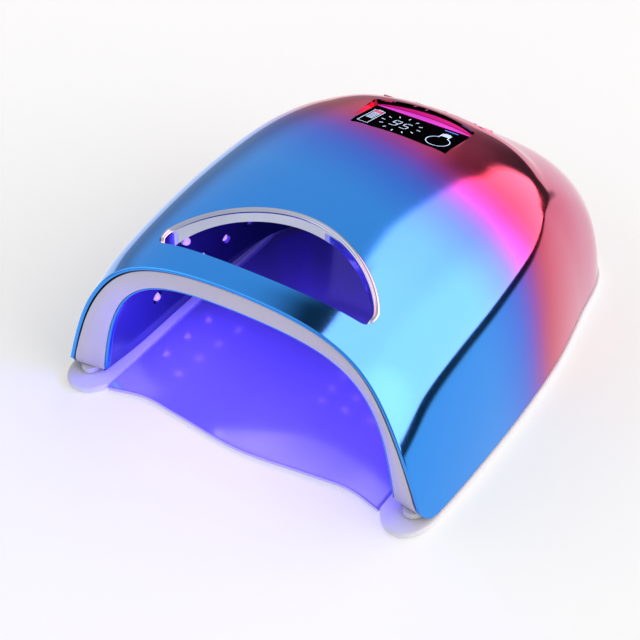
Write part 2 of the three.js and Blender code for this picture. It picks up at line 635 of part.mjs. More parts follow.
// Plan of the base plate: a margin round the shell, two rounded ears in front of the legs.
function baseOutline() {
  const side = shellOutline(BASE_MARGIN).filter((p) => p.y > 22);
  const otherSide = side.slice(0, -1).reverse().map((p) => new THREE.Vector2(-p.x, p.y));
  const ear = 93;
  const shape = new THREE.Shape();
  shape.moveTo(side[0].x, side[0].y);
  [...side.slice(1), ...otherSide].forEach((p) => shape.lineTo(p.x, p.y));
  const rightFront = FLOOR_FRONT.map(([x, y]) => new THREE.Vector2(x, y));
  const leftFront = rightFront.slice(0, -1).map((p) => new THREE.Vector2(-p.x, p.y));
  shape.bezierCurveTo(-106.2, 8, -100, 0, -ear, 0);
  shape.bezierCurveTo(-86, 0, -82, 5, -FLOOR_HALF_WIDTH, 10);
  shape.splineThru([...leftFront.slice(1), ...rightFront.slice().reverse()]);
  shape.bezierCurveTo(82, 5, 86, 0, ear, 0);
  shape.bezierCurveTo(100, 0, 106.2, 8, side[0].x, side[0].y);
  return shape;
}

// Area of the mirror floor: between the rails, back to the rear of the chamber.
function floorShape(margin) {
  const half = FLOOR_HALF_WIDTH - margin;
  const shape = new THREE.Shape();
  shape.moveTo(half, 10);
  shape.lineTo(half, 160);
  shape.bezierCurveTo(half, 190 - margin, 40, 196 - margin, 0, 196 - margin);
  shape.bezierCurveTo(-40, 196 - margin, -half, 190 - margin, -half, 160);
  shape.lineTo(-half, 10);
  const front = FLOOR_FRONT.slice(1).map(([x, y]) => new THREE.Vector2(x, y));
  const left = front.slice(0, -1).map((p) => new THREE.Vector2(-p.x, p.y));
  shape.splineThru([...left, ...front.slice().reverse(), new THREE.Vector2(half, 10)]);
  return shape;
}

// White base: thin under the mirror, thicker under the body, with pegs and with pockets for magnets and feet.
function basePlate() {
  const plate = solid(prism(baseOutline(), FOOT_HEIGHT, RIM_Z, 5));
  const recess = prism(floorShape(0), FLOOR_Z, 20, 6);
  const frontCut = box(2 * FLOOR_HALF_WIDTH, 30, 18, [0, 5, FLOOR_Z + 9]);
  const peg = rod(PEG.radius, RIM_Z - 1, RIM_Z + PEG.height, 12);
  const pocket = rod(MAGNET.radius + GAP, RIM_Z - MAGNET.height - GAP, RIM_Z + 4, 16);
  const footHole = rod(FOOT.radius + GAP, 0, FOOT_HEIGHT + 0.6, 16);
  const pegs = pegPlaces.map(([x, y]) => peg.clone().translate(x, y, 0));
  const pockets = magnetPlaces.map(([x, y]) => pocket.clone().translate(x, y, 0));
  const feet = footPlaces.map(([x, y]) => footHole.clone().translate(x, y, 0));
  const cut = united([recess, frontCut, ...pockets, ...feet].map(solid));
  return toGeometry(united([plate.subtract(cut), ...pegs.map(solid)]));
}

function mirrorFloor() {
  return prism(floorShape(GAP), FLOOR_Z + GAP, FLOOR_Z + GAP + 0.8, 6);
}

function rubberFoot([x, y]) {
  const { radius } = FOOT;
  const top = FOOT_HEIGHT + GAP;
  const profile = [[0, 0], [radius - 0.5, 0], [radius, 0.5], [radius, top], [0, top]];
  return turned(profile).translate(x, y, 0);
}

// ---------------------------------------------------------------- assembly

const lamp = new THREE.Group();
lamp.name = 'uv_led_nail_lamp';
lamp.position.y = -LENGTH / 2;

function addPart(name, geometry, finish) {
  const [color, roughness, metalness] = COLOURS[finish];
  const mesh = new THREE.Mesh(geometry, new THREE.MeshStandardMaterial({ color, roughness, metalness }));
  mesh.name = name;
  lamp.add(mesh);
}

addPart('base_plate', basePlate(), 'white');
addPart('mirror_floor', mirrorFloor(), 'mirror');
footPlaces.forEach((place, i) => addPart(`rubber_foot_${i + 1}`, rubberFoot(place), 'rubber'));
magnetPlaces.forEach(([x, y], i) => {
  const disc = rod(MAGNET.radius, RIM_Z - MAGNET.height, RIM_Z, 16).translate(x, y, 0);
  const keeper = rod(MAGNET.radius, BODY_Z + 0.1, BODY_Z + 1.6, 16).translate(x, y, 0);
  addPart(`base_magnet_${i + 1}`, disc, 'steel');
  addPart(`body_keeper_${i + 1}`, keeper, 'steel');
});

addPart('outer_shell', outerShell(), 'plating');
addPart('front_bezel', frontBezel(), 'bezel');
addPart('handle_frame', handleFrame(), 'chrome');
addPart('reflector_liner', reflectorLiner(), 'liner');
addPart('chassis_frame', chassisFrame(), 'white');
screwPlaces.forEach((place, i) => addPart(`chassis_screw_${i + 1}`, chassisScrew(place), 'steel'));
Object.entries(LED_BOARDS).forEach(([side, board]) => addPart(`led_board_${side}`, ledBoard(board), 'board'));
addPart('hand_sensor', handSensor(), 'black');
addPart('display_window', displayWindow(), 'black');
addPart('display_board', displayBoard(), 'circuit');
buttonFrames.forEach((frame, i) => addPart(`push_button_${i + 1}`, pushButton(frame), 'button'));
addPart('button_board', buttonBoard(), 'circuit');
addPart('control_board', controlBoard(), 'circuit');
addPart('battery_tray', batteryTray(), 'black');
cellPlaces.forEach((place, i) => addPart(`battery_cell_${i + 1}`, batteryCell(place), 'cell'));
addPart('dc_jack', dcJack(), 'black');

export default lamp;
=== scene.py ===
"""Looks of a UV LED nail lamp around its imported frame.

Shapes are written in millimetres, with y as the depth from the front edge of the base plate,
as in the CAD source. placed() turns them into metres in the frame.
"""

import json
import math

import bmesh
import bpy
import numpy as np
from mathutils import Matrix, Vector
from mathutils.bvhtree import BVHTree

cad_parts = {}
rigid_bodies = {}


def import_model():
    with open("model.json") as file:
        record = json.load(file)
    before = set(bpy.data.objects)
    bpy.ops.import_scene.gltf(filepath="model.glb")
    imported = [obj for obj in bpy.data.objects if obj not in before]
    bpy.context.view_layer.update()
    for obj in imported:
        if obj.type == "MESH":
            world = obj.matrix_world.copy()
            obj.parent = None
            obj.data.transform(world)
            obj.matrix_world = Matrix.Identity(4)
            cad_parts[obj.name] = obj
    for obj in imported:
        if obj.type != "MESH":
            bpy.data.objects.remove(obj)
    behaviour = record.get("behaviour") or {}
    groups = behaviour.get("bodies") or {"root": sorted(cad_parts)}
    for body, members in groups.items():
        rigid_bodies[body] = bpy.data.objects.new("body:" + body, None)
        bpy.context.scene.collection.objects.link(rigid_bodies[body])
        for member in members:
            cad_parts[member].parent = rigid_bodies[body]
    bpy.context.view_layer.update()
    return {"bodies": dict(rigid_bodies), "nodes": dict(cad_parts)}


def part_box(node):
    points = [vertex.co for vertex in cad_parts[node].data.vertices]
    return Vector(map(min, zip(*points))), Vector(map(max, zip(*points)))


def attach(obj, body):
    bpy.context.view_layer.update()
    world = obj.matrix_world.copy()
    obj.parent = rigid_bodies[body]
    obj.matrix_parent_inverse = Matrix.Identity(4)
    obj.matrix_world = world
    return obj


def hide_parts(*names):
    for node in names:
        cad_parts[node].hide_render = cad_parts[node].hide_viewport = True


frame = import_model()

MM = 0.001
FRONT = -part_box("base_plate")[0].y / MM  # depth of the frame's origin

# Driving dimensions, as in the CAD source, in millimetres
LENGTH = 257
BASE_MARGIN = 1.2
GAP = 0.3
FOOT_HEIGHT = 1
FLOOR_Z = 2
RIM_Z = 4.5
BODY_Z = 5
FLOOR_HALF_WIDTH = 80
SHELL_WALL = 2.2
LINER_WALL = 2
BEZEL_WALL = 2.4
SKIN_FIT = 0.9988  # keeps the smooth skins as low as the faceted ones they follow
CHASSIS_TOP = 8
BOARD_THICKNESS = 1.6
LEG_FRONT = 8
LEG_CORNER_RADIUS = 13
HANDLE = {"tip": 58.5, "tip_depth": 40, "shoulder": (54, 31), "front": 29.3, "rear": 73, "wall": 1.9}
WINDOW = {"width": 55, "length": 26.6, "thickness": 2, "depth": 169.2, "z": 97.1, "tilt": 0.225}
POCKET = {"half": 29.6, "front": 14.2, "corner": 14, "arch": 10, "wall": 2.4, "depth": 4.6}
BUTTON_XS = (-27, -9, 9, 27)
BUTTON = {"radius": 5.4, "flange": 1.2, "stem": 7, "depth": 199, "z": 91.6, "drop": 1.5}
JACK = {"z": 24, "depth": 248, "hole": 2.9, "collar": 4.2, "length": 4.4}
SENSOR = {"radius": 3, "place": (0, 192, 58)}
BEAD = {"radius": 2.5, "reach": 5.6}
PEG = {"radius": 2.5, "height": 2.4}
FOOT_RADIUS = 7
MAGNET = {"radius": 5, "height": 2}
FOOT_PLACES = ((88, 52), (-88, 52), (72, 214), (-72, 214))
MAGNET_PLACES = ((93, 40), (-93, 40), (64, 236), (-64, 236))
PEG_PLACES = ((93, 24), (-93, 24), (30, 246), (-30, 246))

SIDE_OUT = (0.972, 0, 0.235)
SIDE_BOARD = {"size": (116, 38), "grid": (6, 2), "pitch": (20, 26)}
ROOF_BOARD = {"size": (46, 46), "grid": (3, 3), "pitch": (18, 16)}
REAR_BOARD = {"size": (62, 24), "grid": (3, 1), "pitch": (22, 0)}
LED_BOARDS = {
    "right": {**SIDE_BOARD, "place": (83.6, 108, 40), "out": SIDE_OUT},
    "left": {**SIDE_BOARD, "place": (-83.6, 108, 40), "out": (-SIDE_OUT[0], 0, SIDE_OUT[2])},
    "roof": {**ROOF_BOARD, "place": (0, 124, 93.4), "out": (0, 0, 1)},
    "rear": {**REAR_BOARD, "place": (0, 200.4, 34), "out": (0, 0.995, 0.1)},
}

# ---- material helpers


class Shade:
    """A node material around one Principled shader, with short calls for the nodes that feed it."""

    def __init__(self, name, **values):
        self.material = bpy.data.materials.new(name)
        self.material.use_nodes = True
        self.tree = self.material.node_tree
        self.shader = next(n for n in self.tree.nodes if n.type == "BSDF_PRINCIPLED")
        for socket, value in values.items():
            self.shader.inputs[socket.replace("_", " ")].default_value = value
        self.place = self.node("ShaderNodeTexCoord").outputs["Object"]

    def node(self, kind, values=None, **settings):
        """A new node; values go to its input sockets, by name or number."""
        made = self.tree.nodes.new(kind)
        for key, value in settings.items():
            setattr(made, key, value)
        for key, value in (values or {}).items():
            if isinstance(value, bpy.types.NodeSocket):
                self.link(value, made.inputs[key])
            else:
                made.inputs[key].default_value = value
        return made

    def link(self, source, target):
        self.tree.links.new(source, target)

    def math(self, operation, *values):
        return self.node("ShaderNodeMath", dict(enumerate(values)), operation=operation).outputs[0]

    def stretched(self, scale):
        return self.node("ShaderNodeMapping", {"Scale": scale, "Vector": self.place}).outputs["Vector"]

    def noise(self, scale, detail=4.0, vector=None):
        values = {"Scale": scale, "Detail": detail, "Roughness": 0.55, "Vector": vector or self.place}
        return self.node("ShaderNodeTexNoise", values).outputs["Fac"]

    def cells(self, scale, feature):
        values = {"Scale": scale, "Vector": self.place}
        return self.node("ShaderNodeTexVoronoi", values, feature=feature).outputs["Distance"]

    def span(self, value, low, high, to_low=0.0, to_high=1.0, kind="LINEAR"):
        values = {"Value": value, "From Min": low, "From Max": high, "To Min": to_low, "To Max": to_high}
        return self.node("ShaderNodeMapRange", values, interpolation_type=kind).outputs["Result"]

    def ramp(self, value, stops):
        made = self.node("ShaderNodeValToRGB", {"Fac": value})
        elements = made.color_ramp.elements
        elements.remove(elements[1])
        elements[0].position = stops[0][0]
        elements[0].color = (*stops[0][1], 1)
        for position, colour in stops[1:]:
            elements.new(position).color = (*colour, 1)
        return made.outputs["Color"]

    def colour(self, value, dark, light):
        self.link(self.ramp(value, [(0.3, dark), (0.7, light)]), self.shader.inputs["Base Color"])

    def roughness(self, value, low, high):
        self.link(self.span(value, 0.3, 0.7, low, high), self.shader.inputs["Roughness"])

    def bump(self, height, distance, strength=1.0):
        """Adds a relief of the given depth in metres on top of the reliefs added before."""
        values = {"Strength": strength, "Distance": distance, "Height": height}
        made = self.node("ShaderNodeBump", values)
        normal = self.shader.inputs["Normal"]
        if normal.is_linked:
            self.link(normal.links[0].from_socket, made.inputs["Normal"])
        self.link(made.outputs["Normal"], normal)
        return self


def scuffs(shade, depth=2e-6):
    """Hairline handling marks in two directions."""
    for scale in ((900, 40, 60), (50, 800, 70)):
        lines = shade.noise(6.0, 2.0, shade.stretched(scale))
        shade.bump(shade.span(lines, 0.62, 0.7), depth)
    return shade


# ---- materials


def plating(name, roughness=0.07):
    """Tinted vacuum plating: blue at the front, through violet and magenta, to pink at the rear."""
    shade = Shade(name, Metallic=1.0, Coat_Weight=0.1, Coat_Roughness=0.03, Coat_IOR=1.5)
    axes = shade.node("ShaderNodeSeparateXYZ")
    shade.link(shade.place, axes.inputs[0])
    slope, wander = 0.2, 0.008  # how far the colours lean to one side, and stray
    slant = shade.math("MULTIPLY", axes.outputs["X"], slope)
    cloud = shade.math("MULTIPLY", shade.math("SUBTRACT", shade.noise(14.0, 2.0), 0.5), wander)
    along = shade.math("ADD", shade.math("ADD", axes.outputs["Y"], slant), cloud)
    start, end = 99, 214
    fade = shade.span(along, (start - FRONT) * MM, (end - FRONT) * MM)
    stops = [
        (99, (0.042, 0.3, 0.9)),
        (108, (0.042, 0.275, 0.88)),
        (116, (0.043, 0.24, 0.86)),
        (124, (0.046, 0.2, 0.82)),
        (132, (0.068, 0.155, 0.76)),
        (140, (0.145, 0.1, 0.65)),
        (148, (0.3, 0.055, 0.43)),
        (156, (0.5, 0.042, 0.23)),
        (164, (0.63, 0.05, 0.14)),
        (172, (0.69, 0.07, 0.16)),
        (184, (0.71, 0.1, 0.21)),
        (199, (0.71, 0.15, 0.26)),
        (214, (0.71, 0.23, 0.36)),
    ]
    ramp = [((depth - start) / (end - start), colour) for depth, colour in stops]
    shade.link(shade.ramp(fade, ramp), shade.shader.inputs["Base Color"])
    shade.roughness(shade.noise(22.0, 6.0), roughness - 0.02, roughness + 0.03)
    shade.bump(shade.noise(260.0, 2.0), 3e-6)
    return scuffs(shade, 1.2e-6)


def surface(name, drift, dark, light, wear=(), relief=(), marks=0, **values):
    """A material of noises: drifting colour, uneven gloss, a fine relief and handling marks.

    Each noise is given by its scale and detail, followed by the roughness range for wear
    and by the depth and strength for relief.
    """
    shade = Shade(name, **values)
    shade.colour(shade.noise(*drift), dark, light)
    if wear:
        shade.roughness(shade.noise(*wear[:2]), *wear[2:])
    if relief:
        shade.bump(shade.noise(*relief[:2]), *relief[2:])
    return scuffs(shade, marks) if marks else shade


def moulded(name, dark, light, roughness=0.3, grain=9e-6, scale=2400.0):
    """Injection-moulded plastic: fine spark texture, faint colour drift, rubbed patches."""
    wear = (45.0, 6.0, roughness - 0.05, roughness + 0.09)
    return surface(name, (18.0, 5.0), dark, light, wear, (scale, 3.0, grain, 0.6), 2e-6)


def reflector():
    """Vacuum-metallised inside of the chamber: a soft mirror with faint draw lines, tinted a dark violet that
    is painted light: the LEDs' glow, darkened as painted shade deep in the chamber.
    """
    shade = Shade("metallised_reflector", Metallic=0.9)
    # base colour: painted violet glow of the LEDs, and painted shade of the deep chamber
    shade.colour(shade.noise(16.0, 3.0), (0.11, 0.1, 0.36), (0.14, 0.125, 0.44))
    shade.roughness(shade.noise(30.0, 5.0), 0.12, 0.2)
    lines = shade.noise(5.0, 3.0, shade.stretched((10, 260, 10)))
    shade.bump(lines, 1.2e-5)
    shade.bump(shade.noise(70.0, 2.0), 2e-5)
    return shade


def circuit():
    """Green solder mask with a faint relief of tracks under it."""
    shade = Shade("solder_mask", Roughness=0.35, Coat_Weight=0.3)
    tracks = shade.span(shade.cells(420.0, "DISTANCE_TO_EDGE"), 0.02, 0.06)
    shade.colour(tracks, (0.02, 0.16, 0.07), (0.01, 0.09, 0.04))
    return shade.bump(tracks, 3e-5, 0.5)


def brushed_steel():
    shade = Shade("nickel_steel", Metallic=1.0)
    rings = shade.noise(8.0, 3.0, shade.stretched((60, 900, 60)))
    shade.colour(rings, (0.5, 0.5, 0.51), (0.68, 0.68, 0.69))
    shade.roughness(rings, 0.2, 0.38)
    return shade.bump(rings, 6e-6)


def led_lens():
    """Lens of a lit violet LED, a little uneven as moulded silicone is."""
    shade = Shade("led_lens", Roughness=0.15, Coat_Weight=0.2, Emission_Strength=1.8)
    shade.colour(shade.noise(600.0), (0.3, 0.24, 0.8), (0.36, 0.3, 0.9))
    glow = shade.ramp(shade.noise(900.0), [(0.3, (0.3, 0.16, 1.0)), (0.7, (0.4, 0.23, 1.0))])
    shade.link(glow, shade.shader.inputs["Emission Color"])
    return shade


def lit_mark(name, colour, strength):
    """Segment of the display, slightly uneven as backlit film is."""
    shade = Shade(name, Roughness=0.4, Base_Color=(*colour, 1), Emission_Strength=strength)
    glow = shade.ramp(shade.noise(700.0), [(0.3, tuple(0.8 * c for c in colour)), (0.7, colour)])
    shade.link(glow, shade.shader.inputs["Emission Color"])
    return shade


PLATING = plating("gradient_plating")
BUTTON_PLATING = plating("button_plating", 0.09)
CHROME = surface(
    "bright_chrome", (40.0, 4.0), (0.44, 0.47, 0.62), (0.52, 0.55, 0.7),
    (60.0, 6.0, 0.03, 0.09), (400.0, 2.0, 2e-6), 2e-6, Metallic=1.0,
)
BEZEL = moulded("bezel_grey", (0.6, 0.575, 0.62), (0.66, 0.635, 0.68), 0.34)
WHITE = moulded("white_abs", (0.76, 0.75, 0.79), (0.82, 0.81, 0.85), 0.36)
BOARD_WHITE = moulded("white_mask", (0.7, 0.7, 0.74), (0.8, 0.8, 0.84), 0.4)
BLACK = moulded("black_abs", (0.012, 0.012, 0.014), (0.03, 0.03, 0.034), 0.45, 2e-5, 1500.0)
REFLECTOR = reflector()
# the floor mirror's violet colour is painted light: it stands in for the LEDs' violet glow
MIRROR = surface(
    "mirror_film", (9.0, 3.0), (0.44, 0.37, 0.98), (0.5, 0.42, 1.0),
    (26.0, 5.0, 0.1, 0.2), (30.0, 2.0, 1.5e-5), 2e-6, Metallic=0.55, Coat_Weight=0.6, Coat_Roughness=0.05,
)
RUBBER = surface(
    "rubber", (120.0, 4.0), (0.015, 0.015, 0.017), (0.035, 0.035, 0.038),
    relief=(3000.0, 2.0, 2e-5), Roughness=0.75,
)
GLASS = surface(
    "display_glass", (20.0, 4.0), (0.001, 0.001, 0.0015), (0.003, 0.003, 0.004),
    (50.0, 6.0, 0.02, 0.07), marks=1e-6, Specular_IOR_Level=0.0,
)
CIRCUIT = circuit()
STEEL = brushed_steel()
SLEEVE = surface(
    "cell_sleeve", (30.0, 4.0), (0.03, 0.1, 0.32), (0.05, 0.15, 0.42),
    (80.0, 4.0, 0.25, 0.4), (160.0, 5.0, 4e-5, 0.5), Coat_Weight=0.5,
)
LENS = led_lens()
LEDGE = surface(  # satin magenta shelf behind the display; its emission is a painted glow, standing in for the light its edge catches
    "ledge_plating_painted_glow", (24.0, 4.0), (0.66, 0.075, 0.85), (0.72, 0.1, 0.95),
    (60.0, 5.0, 0.3, 0.42), (900.0, 3.0, 6e-6),
    Metallic=0.6, Emission_Color=(0.75, 0.075, 0.95, 1), Emission_Strength=0.38,
)
MARK_WHITE = lit_mark("mark_white", (0.6, 0.72, 1.0), 0.85)
MARK_RED = lit_mark("mark_red", (0.75, 0.05, 0.12), 0.8)
MARK_BLUE = lit_mark("mark_blue", (0.06, 0.25, 0.9), 1.0)

# ---- mesh helpers


def placed(points):
    """Millimetres with depth to metres in the frame."""
    return (np.asarray(points, float) - (0, FRONT, 0)) * MM


def raw(name, vertices, faces):
    """A plain object from points in millimetres."""
    mesh = bpy.data.meshes.new(name)
    mesh.from_pydata([tuple(p) for p in placed(vertices)], [], [tuple(f) for f in faces])
    made = bpy.data.objects.new(name, mesh)
    bpy.context.scene.collection.objects.link(made)
    return made


def finished(made, shade, body, replaces=(), sharp=35):
    """Smooths a piece, gives it its material, ties it to its body and hides the CAD nodes it replaces."""
    made.data.materials.clear()
    made.data.materials.append(shade.material)
    for polygon in made.data.polygons:
        polygon.material_index = 0
    made.data.shade_smooth()
    made.data.set_sharp_from_angle(angle=math.radians(sharp))
    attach(made, body)
    if replaces:
        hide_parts(*replaces)


def piece(name, vertices, faces, shade, body, slot, replaces=(), sharp=35, soft=()):
    """A finished piece from a solid; soft gives what rounded() needs to round its edges."""
    made = raw(name, vertices, faces)
    if soft:
        rounded(made, *soft)
    finished(made, shade, body, replaces, sharp)


def applied(made):
    """Turns the object's modifiers into its mesh."""
    bpy.context.view_layer.update()
    graph = bpy.context.evaluated_depsgraph_get()
    mesh = bpy.data.meshes.new_from_object(made.evaluated_get(graph))
    made.modifiers.clear()
    old = made.data
    made.data = mesh
    bpy.data.meshes.remove(old)
    return made


def combined(made, others, operation):
    """Joins to or cuts from an object each of the others, which are then gone."""
    for other in others:
        step = made.modifiers.new("step", "BOOLEAN")
        step.operation = operation
        step.solver = "MANIFOLD"
        step.object = other
        applied(made)
        bpy.data.objects.remove(other)
    return made


def rounded(made, width, segments=3, angle=40):
    """Rounds the sharp edges, in millimetres."""
    bevel = made.modifiers.new("round", "BEVEL")
    bevel.width = width * MM
    bevel.segments = segments
    bevel.limit_method = "ANGLE"
    bevel.angle_limit = math.radians(angle)
    return applied(made)


def oriented(place, out):
    """Matrix, in millimetres, of a local frame whose z is the given direction, as the CAD boards have."""
    out = Vector(out).normalized()
    up = Vector((0, 1, 0)) if abs(out.z) > 0.9 else Vector((0, 0, 1))
    across = up.cross(out).normalized()
    rise = out.cross(across)
    turn = Matrix((across, rise, out)).transposed()
    return np.array(turn), np.array(place, float)


def laid(solid, turn, place):
    """Vertices and faces of a solid taken out of a local frame."""
    return np.asarray(solid[0], float) @ turn.T + place, solid[1]


def shifted(solid, x, y):
    return solid[0] + (x, y, 0), solid[1]


def turned(profile, segments=48):
    """Vertices and faces of a solid of revolution about z; the profile starts and ends on the axis."""
    vertices, faces, rings = [], [], []
    for radius, z in profile:
        if radius < 1e-6:
            rings.append([len(vertices)] * segments)
            vertices.append((0, 0, z))
            continue
        rings.append(list(range(len(vertices), len(vertices) + segments)))
        angles = [2 * math.pi * k / segments for k in range(segments)]
        vertices += [(radius * math.cos(a), radius * math.sin(a), z) for a in angles]
    for low, high in zip(rings, rings[1:]):
        for k in range(segments):
            corners = [low[k], low[(k + 1) % segments], high[(k + 1) % segments], high[k]]
            faces.append(list(dict.fromkeys(corners)))
    return np.array(vertices), [f for f in faces if len(f) > 2]


def prism(outline, z0, z1):
    """Vertices and faces of an outline stood up between two heights."""
    outline = np.asarray(outline, float)
    if np.sum(outline[:, 0] * np.roll(outline[:, 1], -1) - outline[:, 1] * np.roll(outline[:, 0], -1)) < 0:
        outline = outline[::-1]
    n = len(outline)
    vertices = [(x, y, z) for z in (z0, z1) for x, y in outline]
    faces = [[k, (k + 1) % n, n + (k + 1) % n, n + k] for k in range(n)]
    return np.array(vertices), faces + [list(range(n))[::-1], list(range(n, 2 * n))]


def rectangle(width, depth):
    x, y = width / 2, depth / 2
    return [(-x, -y), (x, -y), (x, y), (-x, y)]


def block(width, depth, height, centre):
    vertices, faces = prism(rectangle(width, depth), -height / 2, height / 2)
    return vertices + np.array(centre, float), faces


def grid_faces(count, width, start=0):
    """Faces between neighbouring rows of points."""
    corners = [start + i * width + j for i in range(count - 1) for j in range(width - 1)]
    return [[a, a + width, a + width + 1, a + 1] for a in corners]


def ring_faces(count, width, closed=False):
    """Faces of a row of rings of one width; an open row gets an end face at both ends."""
    faces = []
    for i in range(count if closed else count - 1):
        for k in range(width):
            a, b = i * width, (i + 1) % count * width
            j = (k + 1) % width
            faces.append([a + k, b + k, b + j, a + j] if closed else [a + k, a + j, b + j, b + k])
    if not closed:
        last = (count - 1) * width
        faces += [list(range(width))[::-1], [last + k for k in range(width)]]
    return faces


def joined(parts):
    """One list of vertices and faces from several."""
    vertices, faces = [], []
    for points, polygons in parts:
        faces += [[k + len(vertices) for k in polygon] for polygon in polygons]
        vertices += list(points)
    return vertices, faces


def even(count):
    """Even steps from 0 to 1."""
    return np.linspace(0, 1, count)


def bezier(points, steps):
    """Points along a Bezier curve of any degree."""
    t = np.atleast_1d(steps)[:, None]
    level = [np.asarray(p, float)[None, :] + 0 * t for p in points]
    while len(level) > 1:
        level = [a + (b - a) * t for a, b in zip(level, level[1:])]
    return level[0]


def evenly(points, count):
    """The same path with points at equal distances."""
    points = np.asarray(points, float)
    along = np.concatenate([[0], np.cumsum(np.linalg.norm(np.diff(points, axis=0), axis=1))])
    wanted = np.linspace(0, along[-1], count)
    return np.stack([np.interp(wanted, along, points[:, k]) for k in range(points.shape[1])], axis=1)


def chain(*stretches):
    """Joins stretches of a path that meet end to start."""
    return np.concatenate([stretches[0]] + [s[1:] for s in stretches[1:]])


def mirrored(points):
    return np.asarray(points, float) * ([-1] + [1] * (np.shape(points)[1] - 1))


def with_mirror(vertices, faces):
    """A half and its mirror image, whose faces are turned round."""
    other = [[k + len(vertices) for k in face[::-1]] for face in faces]
    return np.concatenate([vertices, mirrored(vertices)]), faces + other


def left_of(ahead):
    """Unit vectors square to a path's directions, within the plane of the first and the last axis."""
    side = 0 * ahead
    side[:, 0], side[:, -1] = -ahead[:, -1], ahead[:, 0]
    return side / np.linalg.norm(side, axis=1)[:, None]


# ---- lofted skins

ON_SKIN = 0.06  # a corner nearer than this, in millimetres, takes the skin's normal
ALIKE = 0.97  # unless its face points elsewhere: the least cosine between the two

# Pull points of each rib, as in the CAD source: [x, depth, z] from the lower edge up to the ridge.
REAR = LENGTH - BASE_MARGIN - 0.2
SHELL_RIBS = [
    [(103.6, 8, 5), (98.3, 8, 28), (89, 8, 51), (73, 10, 84), (60, 15.5, 94), (0, 16, 94)],
    [(105.3, 30, 5), (99.5, 30, 32), (89.4, 30, 60), (78, 30, 84), (60, 29, 96.3), (0, 29, 96.3)],
    [(106.2, 64, 5), (100.5, 64, 36), (90, 64, 66.5), (80, 64, 86), (60, 64, 100.3), (0, 64, 100.3)],
    [(106, 104, 5), (100.5, 104, 40), (89.7, 104, 71), (80, 104, 86.5), (60, 104, 102), (0, 104, 102)],
    [(103.5, 146, 5), (98, 145, 43), (87, 144, 73), (78, 144, 86.5), (56, 144, 101.6), (0, 142, 101.6)],
    [(97, 186, 5), (92, 183, 49), (82, 167, 75), (73, 165, 86.5), (50, 164, 100), (0, 166, 101)],
    [(88, 226, 5), (85, 221, 58), (73.5, 187, 76), (64, 181, 87), (44, 174, 100), (0, 166, 101)],
    [(60, 251, 5), (56, 244, 62), (50, 203, 78.5), (45, 197, 90), (32, 185, 100.5), (0, 166, 101)],
    [(0, REAR, 5), (0, 250, 64), (0, 208, 80.5), (0, 203, 94), (0, 188, 100.8), (0, 166, 101)],
]
LINER_RIBS = [
    [(86.5, 17.3, 5), (77.5, 17.3, 75), (58.5, 21, 81.3), (0, 21, 81.3)],
    [(84.5, 40, 5), (79.5, 40, 81), (62, 40, 90), (0, 36, 90)],
    [(84, 80, 5), (80, 80, 85.5), (62, 78, 94.4), (0, 72, 94.6)],
    [(83, 122, 5), (77, 122, 84), (57, 118, 90), (0, 112, 90)],
    [(77, 162, 5), (72, 157, 82), (46, 145, 88.5), (0, 128, 89)],
    [(52, 190, 5), (49, 182, 78), (30, 163, 88), (0, 128, 89)],
    [(0, 198, 5), (0, 189, 76), (0, 168, 88), (0, 128, 89)],
]
RIM_CURVE = [(85.5, 13.5, 5), (76.5, 13.5, 74), (58, 17, 80.3), (0, 17, 80.3)]


def guide_point(points, u):
    """Centripetal Catmull-Rom curve through the points, at the u-th of them."""
    k = min(int(u), len(points) - 2)
    weight = u - k
    before = points[k - 1] if k > 0 else 2 * points[0] - points[1]
    after = points[k + 2] if k + 2 < len(points) else 2 * points[-1] - points[-2]
    p0, p1, p2, p3 = before, points[k], points[k + 1], after
    d0, d1, d2 = (np.linalg.norm(b - a) ** 0.5 for a, b in ((p0, p1), (p1, p2), (p2, p3)))
    d1 = d1 if d1 > 1e-4 else 1.0
    d0 = d0 if d0 > 1e-4 else d1
    d2 = d2 if d2 > 1e-4 else d1
    leave = ((p1 - p0) / d0 - (p2 - p0) / (d0 + d1) + (p2 - p1) / d1) * d1
    arrive = ((p2 - p1) / d1 - (p3 - p1) / (d1 + d2) + (p3 - p2) / d2) * d1
    square, cube = weight**2, weight**3
    return (
        (2 * cube - 3 * square + 1) * p1
        + (cube - 2 * square + weight) * leave
        + (3 * square - 2 * cube) * p2
        + (cube - square) * arrive
    )


def guides(ribs, u):
    """The pull points between the ribs, smooth across the rear centre."""
    columns = np.array(ribs, float).transpose(1, 0, 2)
    return [guide_point(list(column) + [column[-2] * (-1, 1, 1)], u) for column in columns]


def corner_lift(depth):
    """How far the lower edge rises at the rounded front corner of a leg."""
    inside = LEG_CORNER_RADIUS - (depth - LEG_FRONT)
    if inside <= 0:
        return 0
    return LEG_CORNER_RADIUS - math.sqrt(max(0, LEG_CORNER_RADIUS**2 - inside**2))


def shell_section(u):
    """Half a section of the shell, from its lower edge over the softened crease to the ridge."""
    base, wall, crease, flank, crown, ridge = guides(SHELL_RIBS, u)
    lower, upper = [base, wall, crease], [crease, flank, crown, ridge]
    fine = even(200)
    start = float(np.interp(BODY_Z + corner_lift(base[1]), bezier(lower, fine)[:, 2], fine))
    soft_lower, soft_upper = 0.83, 0.09  # where the crease's rounding leaves one curve and joins the other
    reach, nudge = 0.6, 0.01

    def towards_crease(curve, at, ahead):
        """A point of the curve and one further on along its tangent, short of the crease."""
        here, there = bezier(curve, [at, at + ahead])
        length = reach * np.linalg.norm(crease - here)
        return here, here + (there - here) / np.linalg.norm(there - here) * length

    leave, into = towards_crease(lower, soft_lower, nudge)
    arrive, out = towards_crease(upper, soft_upper, -nudge)
    return chain(
        bezier(lower, np.linspace(start, soft_lower, 15)),
        bezier([leave, into, out, arrive], even(9)),
        bezier(upper, np.linspace(soft_upper, 1, 34)),
    )


def liner_section(u):
    return bezier(guides(LINER_RIBS, u), even(40))


